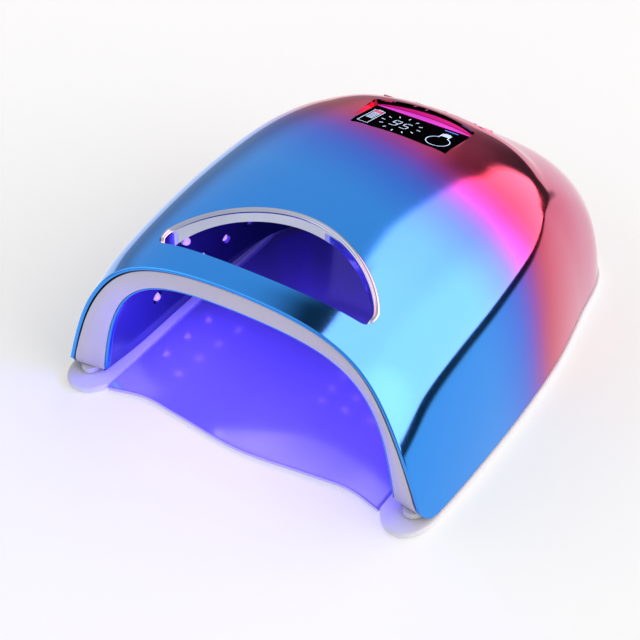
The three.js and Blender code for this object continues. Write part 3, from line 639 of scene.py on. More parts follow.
def patch(section, stations):
    """Points of the right half of a skin, by station and place on the section, and their outward normals."""
    points = np.array([section(u) for u in stations])
    along = np.gradient(points, axis=0)
    up = np.gradient(points, axis=1)
    normals = np.cross(along, up)
    normals[np.abs(points[..., 0]) < 1e-6, 0] = 0
    size = np.linalg.norm(normals, axis=2, keepdims=True)
    normals = np.where(size > 1e-9, normals / np.maximum(size, 1e-9), (0, 0, 1))
    pole = size[..., 0] < 1e-6
    normals[pole] = (0, 0, 1)
    return points * (1, 1, SKIN_FIT), normals


def skin_wall(points, normals, outside, inside):
    """Closed wall round a patch and its mirror image, with a rounded nose along its front edge."""
    def offset(distance):
        shift = normals * distance
        shift[:, 0, 2] = 0
        return points + shift

    outer, inner = offset(outside), offset(-inside)
    middle, radius = (outer[0] + inner[0]) / 2, np.linalg.norm(outer[0] - inner[0], axis=1)[:, None] / 2
    sideways = (outer[0] - inner[0]) / np.maximum(2 * radius, 1e-9)
    forward = points[0] - points[1]
    forward -= (forward * sideways).sum(axis=1)[:, None] * sideways
    forward /= np.linalg.norm(forward, axis=1)[:, None]
    nose = [
        middle + radius * (math.cos(a) * sideways + math.sin(a) * forward)
        for a in np.linspace(0, math.pi, 9)[1:-1]
    ]
    rows = np.concatenate([outer[::-1], np.array(nose), inner])
    width = rows.shape[1]
    faces = grid_faces(len(rows), width)
    last_outer = len(outer) - 1
    for i in range(last_outer):
        a, b = last_outer - i, last_outer - i - 1
        c, d = len(outer) + len(nose) + i, len(outer) + len(nose) + i + 1
        faces.append([a * width, c * width, d * width, b * width])
    nose_rows = list(range(last_outer, len(outer) + len(nose) + 1))
    faces.append([k * width for k in nose_rows])
    return with_mirror(rows.reshape(-1, 3), faces)


def welded(made, distance=1e-3):
    """Merges the seam of mirrored halves and turns the faces outwards."""
    shape = bmesh.new()
    shape.from_mesh(made.data)
    bmesh.ops.remove_doubles(shape, verts=shape.verts, dist=distance * MM)
    bmesh.ops.dissolve_degenerate(shape, dist=1e-4 * MM, edges=shape.edges)
    bmesh.ops.recalc_face_normals(shape, faces=shape.faces)
    shape.to_mesh(made.data)
    shape.free()
    return made


def lofted(name, rings, closed=False, distance=1e-3):
    """A solid through rings of points; a closed row of rings has no ends."""
    faces = ring_faces(len(rings), len(rings[0]), closed)
    return welded(raw(name, np.array(rings).reshape(-1, 3), faces), distance)


def skin_tree(points, normals, distance):
    """Lookup of the true normals of a skin: a tree of its faces and the normals of their corners."""
    vertices, directions, faces = [], [], []
    count, width = points.shape[:2]
    for side in (1, -1):
        shift = len(vertices)
        flip = np.array((side, 1, 1))
        vertices += [tuple(p) for p in placed(((points + normals * distance) * flip).reshape(-1, 3))]
        directions += [Vector(n) for n in (normals * flip).reshape(-1, 3)]
        for a, b, c, d in grid_faces(count, width, shift):
            faces += [(a, b, c), (a, c, d)]
    return BVHTree.FromPolygons(vertices, faces), [Vector(v) for v in vertices], directions, faces


def borrow_normals(made, trees):
    """Gives the loops on a skin the skin's own normals, so that cuts leave no dents in its reflections."""
    mesh = made.data
    normals = [Vector(n.vector) for n in mesh.corner_normals]
    cache = {}
    for polygon in mesh.polygons:
        for k in polygon.loop_indices:
            vertex = mesh.loops[k].vertex_index
            for number, (tree, places, directions, faces) in enumerate(trees):
                key = (vertex, number)
                if key not in cache:
                    hit, _, index, distance = tree.find_nearest(mesh.vertices[vertex].co)
                    cache[key] = None
                    if hit is not None and distance < ON_SKIN * MM:
                        pull = Vector()
                        for corner in faces[index]:
                            pull += directions[corner] * (1 / max((places[corner] - hit).length, 1e-9))
                        cache[key] = pull.normalized()
                near = cache[key]
                if near is not None and abs(near.dot(polygon.normal)) > ALIKE:
                    normals[k] = near if near.dot(polygon.normal) > 0 else -near
                    break
    mesh.normals_split_custom_set([tuple(n) for n in normals])


# Where sections are taken, counted in ribs; they are closest at the shell's front edge.
SHELL_STATIONS = np.concatenate([
    0.05 + 0.85 * (1 - np.cos(np.linspace(0, math.pi / 2, 18))),
    np.linspace(1, 5, 46),
    np.linspace(5, 8, 52)[1:],
])
LINER_STATIONS = np.concatenate([np.linspace(0.02, 3, 40), np.linspace(3, 6, 48)[1:]])
shell_points, shell_normals = patch(shell_section, SHELL_STATIONS)
liner_points, liner_normals = patch(liner_section, LINER_STATIONS)
shell_lookup = skin_tree(shell_points, shell_normals, 0)
liner_lookup = skin_tree(liner_points, liner_normals, 0)


def height_on(lookup, x, depth):
    """Height in millimetres of a skin over a place in plan."""
    start = Vector(placed([(x, depth, 200)])[0])
    hit = lookup[0].ray_cast(start, Vector((0, 0, -1)))[0]
    return None if hit is None else hit.z / MM


def under_shell(distance):
    """Everything under the shell's skin, closed by a fan to a point low in the front opening."""
    lowered = shell_points + shell_normals * distance
    count, width = lowered.shape[:2]
    vertices = np.concatenate([lowered.reshape(-1, 3), [(0, 26, -4)]])
    apex = len(vertices) - 1
    faces = grid_faces(count, width)
    border = [i * width for i in reversed(range(count))] + list(range(1, width))
    faces += [[b, a, apex] for a, b in zip(border, border[1:])]
    return welded(raw("under_shell", *with_mirror(vertices, faces)))


# ---- outlines shared by several pieces


def handle_outline(inset, steps=24):
    """Finger opening in plan: a shallow bow in front, a deep arc behind, small round tips."""
    tip, shoulder = HANDLE["tip"] - inset, HANDLE["shoulder"][0] - inset
    shoulder_depth, rear = HANDLE["shoulder"][1] + inset, HANDLE["rear"] - inset
    bow = 2 * (HANDLE["front"] + inset) - shoulder_depth
    t = even(steps)
    fine = even(2 * steps)
    corner_start, corner_end = (shoulder, shoulder_depth), (tip, HANDLE["tip_depth"])
    front = bezier([(-shoulder, shoulder_depth), (0, bow), corner_start], fine)
    corner = bezier([corner_start, (tip + 2, shoulder_depth + 0.5), corner_end], t)
    arc = bezier([corner_end, (0.9 * tip, 53 - inset), (0.46 * tip, rear), (0, rear)], fine)
    return chain(front, corner, arc, mirrored(arc)[::-1], mirrored(corner)[::-1])[:-1]


def pocket_outline(margin):
    half, front, corner = POCKET["half"] + margin, -POCKET["front"] - margin, POCKET["corner"] + margin
    arch = bezier([(half, corner), (0, corner + POCKET["arch"]), (-half, corner)], even(40))
    soft = 2.0
    return np.concatenate([
        bezier([(-half, front + soft), (-half, front), (-half + soft, front)], even(8)),
        bezier([(half - soft, front), (half, front), (half, front + soft)], even(8)),
        arch,
    ])


tilt = WINDOW["tilt"]
WINDOW_TURN = np.array([[1, 0, 0], [0, math.sqrt(1 - tilt**2), tilt], [0, -tilt, math.sqrt(1 - tilt**2)]])
WINDOW_PLACE = np.array([0, WINDOW["depth"], WINDOW["z"]])


def on_window(solid):
    """From the display's own frame, z up out of the glass, to the lamp's."""
    return laid(solid, WINDOW_TURN, WINDOW_PLACE)


def button_frame(x):
    """Turn and place of a button; the outer ones lie lower along their travel."""
    drop = BUTTON["drop"] * (x / BUTTON_XS[0]) ** 2
    sine, cosine = 0.6, 0.8
    turn = np.array([[1, 0, 0], [0, cosine, sine], [0, -sine, cosine]])
    return turn, np.array([x, BUTTON["depth"] - sine * drop, BUTTON["z"] - cosine * drop])


def cylinder(radius, z0, z1, segments=48):
    return turned([(0, z0), (radius, z0), (radius, z1), (0, z1)], segments)


LYING = np.array([[1, 0, 0], [0, 0, 1], [0, -1, 0]])  # turns z to point to the rear
FINGER_CUT = prism(handle_outline(0), 60, 120)
DISPLAY_CUT = block(48, 20, 12, (0, 0, -3))  # through the pocket's floor, for the display's board


# ---- lamp body


def make_shell():
    shell = welded(raw("shell_skin", *skin_wall(shell_points, shell_normals, 0, SHELL_WALL)))
    tray = raw("pocket_tray", *on_window(prism(pocket_outline(POCKET["wall"]), -POCKET["depth"], 14)))
    combined(tray, [under_shell(-GAP)], "INTERSECT")
    combined(shell, [tray], "UNION")
    window = block(WINDOW["width"] + 2 * GAP, WINDOW["length"] + 2 * GAP, 6, (0, 0, 0.7))
    cuts = [FINGER_CUT] + [on_window(part) for part in (prism(pocket_outline(0), 0, 20), window, DISPLAY_CUT)]
    bores = (0.5, -10, 10), (BUTTON["flange"] + 0.5, -12, -3.9)  # for the cap, and for the flange below
    for x in BUTTON_XS:
        for room, low, high in bores:
            cuts.append(laid(cylinder(BUTTON["radius"] + room, low, high), *button_frame(x)))
    inlet = cylinder(JACK["collar"] + GAP, -6, 12)
    cuts.append(laid(inlet, LYING, (0, JACK["depth"] - 2, JACK["z"])))
    combined(shell, [raw("cut", *cut) for cut in cuts], "DIFFERENCE")
    finished(shell, PLATING, "lamp", ["outer_shell"])
    borrow_normals(shell, [shell_lookup, skin_tree(shell_points, shell_normals, -SHELL_WALL)])


def arch(points, inset, toe, count):
    """Evenly spaced points along an arch, moved towards the chamber, led in by a toe at each foot."""
    points = np.asarray(points, float)
    ahead = np.concatenate([points[1:], points[-1:]]) - np.concatenate([points[:1], points[:-1]])
    inward = left_of(ahead)
    half = points + inward * inset
    if len(toe):
        half = np.concatenate([np.asarray(toe) + inward[0] * inset, half])
    return evenly(np.concatenate([half, mirrored(half)[::-1][1:]]), count)


def make_bezel():
    """Pale bell-mouth panel between the shell's nose and the chamber."""
    count = 141
    toe = [shell_section(u)[0] for u in (0.34, 0.2, 0.1, 0.03)]  # up round the leg's corner
    outer = arch(shell_section(0), SHELL_WALL + 2 * GAP, toe, count)
    inner = arch(bezier(RIM_CURVE, even(60)), 0, [], count)
    floor = CHASSIS_TOP + GAP
    rings = []
    for o, n in zip(outer, inner):
        face = []
        for t in even(12):
            x, z = o[0] + (n[0] - o[0]) * t, max(o[2] + (n[2] - o[2]) * t, floor)
            face.append((x, o[1] + 0.8 + (n[1] - o[1]) * t**1.5, z))
        rings.append(face + [(x, y + BEZEL_WALL, z) for x, y, z in face[::-1]])
    finished(lofted("bezel_panel", rings, distance=1e-2), BEZEL, "lamp", ["front_bezel"], 50)


def led_places(board):
    columns, rows = board["grid"]
    step_x, step_y = board["pitch"]
    return [
        ((i - (columns - 1) / 2) * step_x, (j - (rows - 1) / 2) * step_y)
        for i in range(columns) for j in range(rows)
    ]


def make_liner():
    liner = welded(raw("reflector_skin", *skin_wall(liner_points, liner_normals, LINER_WALL, 0)))
    cuts = [FINGER_CUT]
    hole = cylinder(BEAD["radius"] + 1.2, -14, 2, 32)
    for board in LED_BOARDS.values():
        frame_of_board = oriented(board["place"], board["out"])
        cuts += [laid(shifted(hole, x, y), *frame_of_board) for x, y in led_places(board)]
    cuts.append(laid(cylinder(SENSOR["radius"] + GAP, -16, 16, 32), LYING, SENSOR["place"]))
    combined(liner, [raw("cut", *cut) for cut in cuts], "DIFFERENCE")
    finished(liner, REFLECTOR, "lamp", ["reflector_liner"])
    borrow_normals(liner, [liner_lookup, skin_tree(liner_points, liner_normals, LINER_WALL)])


def make_liner_lip():
    """Plated lip rolled round the liner's front edge, inside the bezel."""
    path = evenly(bezier(RIM_CURVE, even(80)), 60)
    path = path[path[:, 2] > CHASSIS_TOP + GAP]
    inward = left_of(np.gradient(path, axis=0))
    profile = [(0.1, 1.4), (0.45, 1.0), (0.9, 1.05), (1.25, 1.5), (1.35, 2.2)]
    profile += [(1.2, 3.0), (1.3, 3.7), (1.25, 4.6), (0.9, 5.1), (0.1, 5.2)]
    half = [[p + n * s + (0, depth, 0) for s, depth in profile] for p, n in zip(path, inward)]
    other = [[p * (-1, 1, 1) for p in ring] for ring in half[::-1][1:]]
    finished(lofted("chamber_lip", half + other), PLATING, "lamp", sharp=50)


def make_handle():
    """Chrome sleeve in the finger opening, with a rolled double lip round the rear arc and the tips."""
    outline = handle_outline(GAP)
    path = evenly(np.concatenate([outline, outline[:1]]), 261)[:-1]
    inward = left_of(np.roll(path, -1, axis=0) - np.roll(path, 1, axis=0))
    wall = HANDLE["wall"]
    lip = [(0.0, -1.2), (-0.3, 0.0), (-0.75, 0.1), (-0.95, 0.35), (-0.8, 0.62)]
    lip += [(-0.45, 0.78), (0.1, 0.8), (0.55, 0.66), (0.75, 0.42), (0.95, 0.3)]
    lip += [(1.15, 0.4), (1.4, 0.42), (1.7, 0.2), (wall, -0.25), (wall, -1.6)]
    rings = []
    for (x, depth), direction in zip(path, inward):
        top = height_on(shell_lookup, x, depth)
        low = height_on(liner_lookup, x + direction[0], depth + direction[1])
        rise = min(max((depth - 33) / 6, 0.12), 1)  # the lip flattens towards the front bar
        sunk = min(max((35 - depth) / 4, 0), 1) * 3  # and lies under its edge there
        ring = []
        for s, z in lip:
            if s < 0:
                s *= 0 if sunk else rise
            z = (z * rise if z > 0 else z) - sunk
            ring.append((x + direction[0] * s, depth + direction[1] * s, top + z))
        foot = [(x + direction[0] * s, depth + direction[1] * s, low) for s in (wall, wall - 0.4, 0.4, 0.0)]
        rings.append(ring + foot)
    sleeve = lofted("handle_sleeve", rings, closed=True)
    finished(sleeve, CHROME, "lamp", ["handle_frame"], 60)


def make_led_boards():
    """Each board with its soldered LEDs: a round ceramic base and a clear dome that glows."""
    reach, lens = -BEAD["reach"], 2.1
    profile = [(0, reach)]
    for a in np.linspace(0.2, math.pi / 2, 7):
        profile.append((lens * math.sin(a), reach + lens * (1 - math.cos(a))))
    dome = turned(profile + [(lens, reach + 3), (0, reach + 3)], 32)
    base = cylinder(BEAD["radius"], reach + 2.6, 0, 32)
    for side, board in LED_BOARDS.items():
        frame_of_board = oriented(board["place"], board["out"])
        plate = laid(block(*board["size"], BOARD_THICKNESS, (0, 0, BOARD_THICKNESS / 2)), *frame_of_board)
        node = f"led_board_{side}"
        piece(f"led_strip_{side}", *plate, BOARD_WHITE, "lamp", "led_board", [node], soft=(0.3,))
        for name, solid, shade in (("bases", base, BOARD_WHITE), ("domes", dome, LENS)):
            parts = [laid(shifted(solid, x, y), *frame_of_board) for x, y in led_places(board)]
            piece(f"led_{name}_{side}", *joined(parts), shade, "lamp", "led_board")


def make_sensor():
    x, depth, z = SENSOR["place"]
    eye = turned([(0, -3.2), (1.2, -3.1), (2.2, -2.6), (2.7, -1.8), (3, -1.2), (3, 6), (0, 6)])
    housing = block(16, 3, 12, (x, depth + 7, z))
    piece("sensor_body", *housing, BLACK, "lamp", "black_abs", ["hand_sensor"], soft=(0.5,))
    piece("sensor_eye", *laid(eye, LYING, SENSOR["place"]), GLASS, "lamp", "black_abs")


# ---- display

LIFT = 0.03  # height of the marks over the glass


def stroke(points, width, closed=False):
    """Flat ribbon of even width along a path on the glass."""
    points = np.asarray(points, float)
    if closed:
        points = np.concatenate([points, points[:1]])
    vertices, faces = [], []
    for a, b in zip(points, points[1:]):
        along = (b - a) / np.linalg.norm(b - a)
        side = np.array((-along[1], along[0])) * width / 2
        start, end = a - along * width * 0.3, b + along * width * 0.3
        k = len(vertices)
        vertices += [(*corner, LIFT) for corner in (start - side, end - side, end + side, start + side)]
        faces.append([k, k + 1, k + 2, k + 3])
    return vertices, faces


SEGMENTS = {  # bars of a 9 and a 5, as parts of the figure's height
    "top": ((0, 1), (0.5, 1)),
    "upper_right": ((0.5, 1), (0.5, 0.5)),
    "lower_right": ((0.5, 0.5), (0.5, 0)),
    "bottom": ((0, 0), (0.5, 0)),
    "upper_left": ((0, 1), (0, 0.5)),
    "middle": ((0, 0.5), (0.5, 0.5)),
}


def digit(dark, left, bottom, height):
    """Slanted figure of bars, lit but for the dark ones."""
    slant, gap, width, ribbons = 0.18, 0.12, 0.5, []
    for name, ends in SEGMENTS.items():
        if name not in dark:
            a, b = (np.array((left + (x + slant * y) * height, bottom + y * height)) for x, y in ends)
            ribbons.append(stroke([a + (b - a) * gap, b - (b - a) * gap], width))
    return ribbons


def arc_points(centre, radius, start, end):
    angles = np.radians(np.linspace(start, end, 40))
    return np.stack([centre[0] + radius * np.cos(angles), centre[1] + radius * np.sin(angles)], axis=1)


def make_display():
    """Polished black window with generic marks: a battery, a number in a ring of ticks and a bulb."""
    slab = on_window(prism(rectangle(WINDOW["width"], WINDOW["length"]), -WINDOW["thickness"], 0))
    piece("display_glass", *slab, GLASS, "lamp", "black_gloss", ["display_window"], soft=(0.35,))
    ledge = [p for p in pocket_outline(-0.4) if p[1] > WINDOW["length"] / 2 + GAP + 0.3]
    shelf = on_window(prism(ledge, -0.2, 0.25))
    # the ledge glows by its material's painted emission, not by a lamp
    piece("display_ledge", *shelf, LEDGE, "lamp", "plating", soft=(0.2, 2))
    battery = [stroke([(-25.2, -11), (-19.4, -11), (-19.4, 8), (-25.2, 8)], 0.35, True)]
    battery += [stroke([(-23.6, 8.6), (-21, 8.6)], 0.5)]
    battery += [stroke([(-24.2, y), (-20.4, y)], 0.7) for y in (-3.6, -2, -0.4, 1.2, 2.8, 4.2)]
    ring_middle, ring = np.array((-5.6, 0.0)), []
    for k in range(12):
        a = math.radians(30 * k)
        direction = np.array((math.cos(a) * 1.08, math.sin(a)))
        ring.append(stroke([ring_middle + direction * 8.8, ring_middle + direction * 10.4], 0.55))
    number = digit((), -11.2, -3.6, 7.2) + digit(("upper_right",), -5.2, -3.6, 7.2)
    bulb = [stroke(arc_points((18.2, -4.2), 6.2, 115, 425), 0.42)]
    bulb += [stroke([(15.6, 1.4), (15.9, 3.4)], 0.6), stroke([(20.8, 1.4), (20.5, 3.4)], 0.6)]
    bulb += [stroke([(15.7, y), (20.7, y)], 0.85) for y in (3.9, 5.0, 6.1)]
    bulb += [stroke([(16.8, 7.1), (19.6, 7.1)], 0.7)]
    charge = [stroke([(-24.2, y), (-20.4, y)], 1.1) for y in (5.6, 6.8)]
    dots = [stroke([(x, 11.2), (x + 0.7, 11.2)], 0.8) for x in np.arange(14.4, 21.5, 1.3)]
    for name, ribbons, shade in (
        ("display_marks", battery + ring + number + bulb, MARK_WHITE),
        ("display_charge", charge, MARK_RED),
        ("display_dots", dots, MARK_BLUE),
    ):
        piece(name, *on_window(joined(ribbons)), shade, "lamp", "black_gloss")


def make_buttons():
    """Plated caps with a dished top and a fine turned edge, over a flange and a stem."""
    radius, rim = BUTTON["radius"], BUTTON["radius"] + BUTTON["flange"]
    profile = [(0, -BUTTON["stem"]), (1.5, -BUTTON["stem"]), (1.6, -6.9), (1.6, -5.4)]
    profile += [(rim, -5.4), (rim, -4.4), (radius, -4.4), (radius, -0.6)]
    edge = ((0.08, -0.3), (0.3, 0.0), (0.65, 0.18), (1.0, 0.22), (1.3, 0.12), (1.8, 0.08))
    profile += [(radius - inset, z) for inset, z in edge]
    profile += [(2.2, 0.0), (0, -0.04)]
    for i, x in enumerate(BUTTON_XS, 1):
        cap = laid(turned(profile, 72), *button_frame(x))
        node = f"push_button_{i}"
        piece(f"button_cap_{i}", *cap, BUTTON_PLATING, f"button_{i}", "button", [node], 28)


def make_inlet():
    """DC inlet: a collar in the rear wall with a chamfered socket and a centre pin, and its body inside."""
    hole, collar, length = JACK["hole"], JACK["collar"], JACK["length"]
    place = (0, JACK["depth"], JACK["z"])
    housing = laid(block(11, 10, 12, (0, 0, -6)), LYING, place)
    piece("inlet_body", *housing, BLACK, "lamp", "black_abs", ["dc_jack"], soft=(0.4,))
    ring = [(hole + 0.01, 0.05), (collar, 0.05), (collar, length - 0.5), (collar - 0.5, length)]
    ring += [(hole + 0.5, length), (hole, length - 0.5), (hole, 0.06)]
    sleeve = turned([(0, 0.0), *ring, (0, 0.06)])
    pin = turned([(0, 0.06), (1, 0.06), (1, length - 2.3), (0.7, length - 2), (0, length - 2)], 24)
    piece("inlet_collar", *laid(sleeve, LYING, place), BLACK, "lamp", "black_abs")
    piece("inlet_pin", *laid(pin, LYING, place), STEEL, "lamp", "steel")


# ---- base

FLOOR_FRONT = [(60, 14.5), (38, 12.5), (0, 8.5)]  # inwards from the corner, in plan


def front_wave(half_width):
    """Front edge of the floor from left to right: hollow beside the ears, a low tongue in the middle."""
    right = [np.array(p, float) for p in [(half_width, 10), *FLOOR_FRONT]]
    path = [p * (-1, 1) for p in right] + right[::-1][1:]
    samples = np.linspace(0, len(path) - 1, 80)
    return np.array([guide_point(path, u) for u in samples])


def shell_outline(distance):
    points = np.array([guides(SHELL_RIBS, u)[0][:2] for u in np.linspace(0, 8, 120)])
    ahead = np.gradient(points, axis=0)
    ahead[-1] = (-1, 0)
    return points - left_of(ahead) * distance


def base_outline():
    side = np.array([p for p in shell_outline(BASE_MARGIN - 0.05) if p[1] > 22])
    ear, t = 93, even(16)
    left = chain(
        bezier([side[0] * (-1, 1), (-106.2, 8), (-100, 0), (-ear, 0)], t),
        bezier([(-ear, 0), (-86, 0), (-82, 5), (-FLOOR_HALF_WIDTH, 10)], t),
    )
    return chain(side, mirrored(side)[::-1], left, front_wave(FLOOR_HALF_WIDTH), mirrored(left)[::-1])[:-1]


def floor_outline(margin):
    half = FLOOR_HALF_WIDTH - margin
    back = 196 - margin
    t = even(24)
    right = bezier([(half, 160), (half, 190 - margin), (40, back), (0, back)], t)
    ahead, behind = [(half, 10), (half, 160)], [(-half, 160), (-half, 10)]
    return chain(front_wave(half), ahead, right, mirrored(right)[::-1], behind)[:-1]


def make_base():
    """White base: a thin floor, raised borders with rounded edges, pegs, and pockets for magnets and feet."""
    plate = rounded(raw("base_moulding", *prism(base_outline(), FOOT_HEIGHT, RIM_Z)), 0.8, 4, 50)
    recess = prism(floor_outline(0), FLOOR_Z, 20)
    front_cut = block(2 * FLOOR_HALF_WIDTH, 30, 18, (0, 5, FLOOR_Z + 9))
    cuts = [recess, front_cut]
    for places, radius, low, high in (
        (MAGNET_PLACES, MAGNET["radius"] + GAP, RIM_Z - MAGNET["height"] - GAP, RIM_Z + 4),
        (FOOT_PLACES, FOOT_RADIUS + GAP, 0, FOOT_HEIGHT + 0.6),
    ):
        cuts += [shifted(cylinder(radius, low, high), x, depth) for x, depth in places]
    combined(plate, [raw("cut", *cut) for cut in cuts], "DIFFERENCE")
    finished(plate, WHITE, "base", ["base_plate"])
    top = RIM_Z + PEG["height"]
    radius = PEG["radius"]
    root = RIM_Z - 0.4
    profile = [(0, root), (radius + 0.4, root), (radius + 0.3, root + 0.5), (radius, root + 0.8)]
    profile += [(radius, top - 0.9), (radius - 0.6, top - 0.2), (radius - 1.2, top), (0, top)]
    pegs = [shifted(turned(profile), x, depth) for x, depth in PEG_PLACES]
    piece("locating_pegs", *joined(pegs), WHITE, "base", "white_abs")


def make_floor_mirror():
    top = FLOOR_Z + GAP + 0.8
    slab = prism(floor_outline(GAP), FLOOR_Z + GAP, top)
    soft = (0.15, 2, 60)
    piece("floor_panel", *slab, MIRROR, "base", "floor_mirror", ["mirror_floor"], soft=soft)
    wave = front_wave(FLOOR_HALF_WIDTH - 1)
    hem = prism(np.concatenate([wave - (0, 0.5), wave[::-1] - (0, 0.02)]), FOOT_HEIGHT + 0.1, top)
    piece("floor_hem", *hem, MIRROR, "base", "floor_mirror", soft=soft)


def make_round_hardware():
    """Feet, magnets and keepers, turned finely."""
    top = FOOT_HEIGHT + GAP
    foot = [(0, 0), (FOOT_RADIUS - 1.6, 0), (FOOT_RADIUS - 0.7, 0.05), (FOOT_RADIUS - 0.25, 0.25)]
    foot += [(FOOT_RADIUS, 0.6), (FOOT_RADIUS, top), (0, top)]

    def disc(low, high, soft=0.25):
        radius = MAGNET["radius"]
        rising = [(0, low), (radius - soft, low), (radius, low + soft)]
        return rising + [(radius, high - soft), (radius - soft, high), (0, high)]

    magnet, keeper = disc(RIM_Z - MAGNET["height"], RIM_Z), disc(BODY_Z + 0.1, BODY_Z + 1.6)
    sets = (
        ("rubber_foot", FOOT_PLACES, foot, RUBBER, "base", "rubber", "foot_pad"),
        ("base_magnet", MAGNET_PLACES, magnet, STEEL, "base", "steel", "magnet_disc"),
        ("body_keeper", MAGNET_PLACES, keeper, STEEL, "lamp", "steel", "keeper_disc"),
    )
    for node, places, profile, shade, body, slot, name in sets:
        for i, (x, depth) in enumerate(places, 1):
            part = shifted(turned(profile, 56), x, depth)
            piece(f"{name}_{i}", *part, shade, body, slot, [f"{node}_{i}"])


# ---- CAD nodes that stay, with their materials

KEPT = {"chassis_frame": WHITE, "battery_tray": BLACK}
for name in ("display", "button", "control"):
    KEPT[f"{name}_board"] = CIRCUIT
for i in range(1, 5):
    KEPT[f"battery_cell_{i}"] = SLEEVE
    KEPT[f"chassis_screw_{i}"] = STEEL

# ---- stage


def make_floor():
    near, far = -3000, 3500
    corners = [(near, near, 0), (-near, near, 0), (-near, far, 0), (near, far, 0)]
    floor = raw("stage_floor", corners, [[0, 1, 2, 3]])
    shade = surface(
        "stage_paper", (3.0, 4.0), (0.76, 0.76, 0.76), (0.78, 0.78, 0.78),
        relief=(500.0, 3.0, 2e-5), Roughness=0.9, Emission_Color=(1, 1, 1, 1), Emission_Strength=0.34,
    )
    floor.data.materials.append(shade.material)
    floor.visible_glossy = False  # the studio's own light is what the plating mirrors


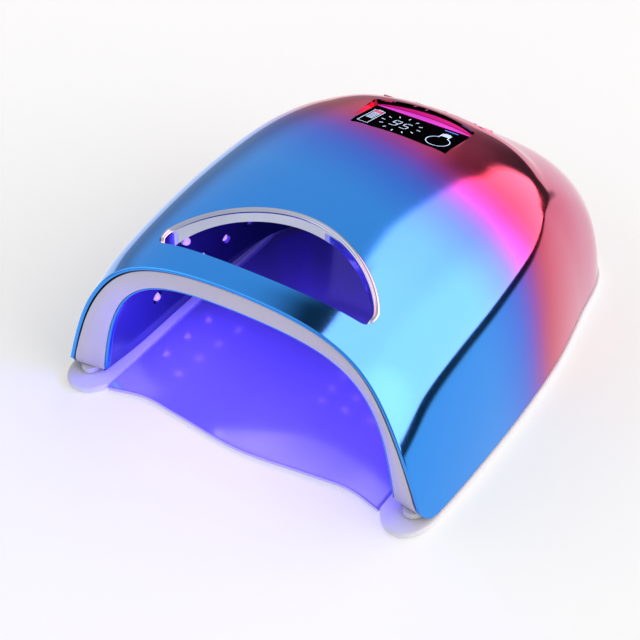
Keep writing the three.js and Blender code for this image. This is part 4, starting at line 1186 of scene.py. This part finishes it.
def make_studio():
    """Soft studio: a tall softbox on the right, a dimmer wall on the left, dark gaps, white below."""
    world = bpy.data.worlds.new("studio")
    bpy.context.scene.world = world
    world.use_nodes = True
    shade = Shade.__new__(Shade)  # only its node helpers, on the world's own tree
    shade.tree = world.node_tree
    background = next(n for n in world.node_tree.nodes if n.type == "BACKGROUND")
    axes = shade.node("ShaderNodeSeparateXYZ")
    shade.link(shade.node("ShaderNodeTexCoord").outputs["Generated"], axes.inputs[0])
    height = axes.outputs["Z"]
    turn = shade.math("MULTIPLY", shade.math("ARCTAN2", axes.outputs["X"], axes.outputs["Y"]), 180 / math.pi)

    def step(value, low, high):
        return shade.span(value, low, high, kind="SMOOTHSTEP")

    def band(value, low, high, soft_low, soft_high):
        """1 between low and high, with an edge of its own softness at each."""
        rising = step(value, low - soft_low, low + soft_low)
        return shade.math("MULTIPLY", rising, step(value, high + soft_high, high - soft_high))

    def layer(level, new, *masks):
        """The level, replaced by the new one where all the masks are 1."""
        mask = masks[0]
        for other in masks[1:]:
            mask = shade.math("MULTIPLY", mask, other)
        values = {"Factor": mask, "A": level, "B": new}
        return shade.node("ShaderNodeMix", values, data_type="FLOAT").outputs["Result"]

    # turn is 0 to the rear, 90 to the right, -90 to the left; height is the sine of the elevation.
    # The horizon, where the white below ends, is higher behind the lamp than at its sides.
    horizon = shade.math("ADD", -0.2, shade.math("MULTIPLY", 0.25, step(turn, -30, -15)))
    horizon = shade.math("SUBTRACT", horizon, shade.math("MULTIPLY", 0.28, step(turn, 18, 36)))
    rise = shade.math("SUBTRACT", height, horizon)
    # the softbox stands a little higher over the horizon in its left part
    lifted = shade.math("SUBTRACT", rise, shade.math("MULTIPLY", 0.03, step(turn, 20, 14)))
    lifted = shade.math("SUBTRACT", lifted, shade.math("MULTIPLY", 0.05, step(turn, 36, 28)))
    leaning, upper_part = shade.span(height, 0.12, 0.545, 10, -3), shade.span(height, 0.545, 0.731, 0, -14)
    left_edge = shade.math("ADD", upper_part, leaning)
    inside = step(shade.math("SUBTRACT", turn, left_edge), -2.5, 2.5)
    softbox = shade.math("MULTIPLY", inside, step(turn, 124, 112))
    softbox = shade.math("MULTIPLY", softbox, step(lifted, 0.08, 0.105))
    wall, dark, below = 0.75, 0.06, 0.97
    level = layer(wall, 1.5, band(turn, -150, -95, 6, 6), band(height, 0.05, 0.8, 0.05, 0.1))
    level = layer(level, 0.42, band(turn, -75, -17, 14, 3), step(height, 0.3, -0.02))
    under_top = step(height, 0.66, 0.54)
    level = layer(level, 0.24, band(turn, -17, 124, 6, 1), under_top)
    level = layer(level, 0.08, band(turn, -5, 124, 6, 1), under_top)
    box_level = layer(layer(2.0, 2.5, step(turn, 15, 45)), 3.1, step(turn, 62, 80))
    box_level = layer(box_level, 2.3, step(height, 0.7, 0.85))
    level = layer(level, box_level, softbox)
    level = layer(level, dark, band(turn, -46, -12, 16, 2), step(height, 0.79, 0.88))
    gap = step(rise, -0.015, 0.015), step(lifted, 0.104, 0.08)
    level = layer(level, dark, band(turn, -2, 118, 6, 8), *gap)
    front = shade.math("SUBTRACT", 1.0, band(turn, -120, 118, 10, 8))
    level = layer(level, 0.03, front, band(height, -0.3, -0.06, 0.02, 0.03))
    level = layer(level, below, step(rise, 0.01, -0.03))
    path = shade.node("ShaderNodeLightPath")
    dimmed = shade.math("MULTIPLY", level, 0.45)
    level = layer(level, dimmed, shade.span(path.outputs["Diffuse Depth"], 0, 1))
    level = layer(level, 1.0, path.outputs["Is Camera Ray"])
    shade.link(level, background.inputs["Strength"])
    # the softbox is redder in the first mirror image, which turns the plating paler there
    first = shade.span(path.outputs["Ray Depth"], 2, 3, 1, 0)
    red = layer(1.0, 2.3, softbox, first, path.outputs["Is Glossy Ray"])
    tint = shade.node("ShaderNodeCombineXYZ", {"X": red, "Y": 1.0, "Z": 1.0})
    shade.link(tint.outputs["Vector"], background.inputs["Color"])


def area_light(name, place, target, size, power, colour):
    data = bpy.data.lights.new(name, "AREA")
    data.shape = "RECTANGLE"
    data.size, data.size_y = size[0] * MM, size[1] * MM
    data.energy = power
    data.color = colour
    made = bpy.data.objects.new(name, data)
    bpy.context.scene.collection.objects.link(made)
    start, end = (Vector(placed([p])[0]) for p in (place, target))
    made.location = start
    made.rotation_euler = (end - start).to_track_quat("-Z", "Y").to_euler()
    made.visible_camera = False
    made.visible_glossy = False
    made.parent = frame["bodies"]["lamp"]


def make_lights():
    """Light of the LEDs in the chamber."""
    violet = (0.16, 0.1, 1.0)
    spill = (0.07, 0.05, 1.0)
    area_light("glow_roof", (0, 60, 80), (0, 40, 0), (80, 40), 0.1, violet)
    for name, x in (("glow_right", 74), ("glow_left", -74)):
        area_light(name, (x, 55, 40), (0, 45, 0), (60, 30), 0.05, violet)
    area_light("glow_front", (0, 30, 72), (-40, -60, -10), (80, 20), 0.15, spill)


def make_camera():
    """From 32 degrees right of the front and 40 degrees up."""
    azimuth, elevation = math.radians(32.46), math.radians(39.96)
    data = bpy.data.cameras.new("camera")
    data.lens = 98.33
    data.sensor_width = 36
    made = bpy.data.objects.new("camera", data)
    bpy.context.scene.collection.objects.link(made)
    made.location = (0.3606, -0.6119, 0.5933)
    made.rotation_euler = (math.pi / 2 - elevation, 0, azimuth)
    bpy.context.scene.camera = made


make_camera()
for make in (
    make_shell, make_bezel, make_liner, make_liner_lip, make_handle, make_led_boards, make_sensor,
    make_display, make_buttons, make_inlet, make_base, make_floor_mirror, make_round_hardware,
):
    make()
for node, shade in KEPT.items():
    slots = frame["nodes"][node].data.materials
    slots.clear()
    slots.append(shade.material)
make_floor()
make_studio()
make_lights()
bpy.context.scene.view_settings.view_transform = "Standard"
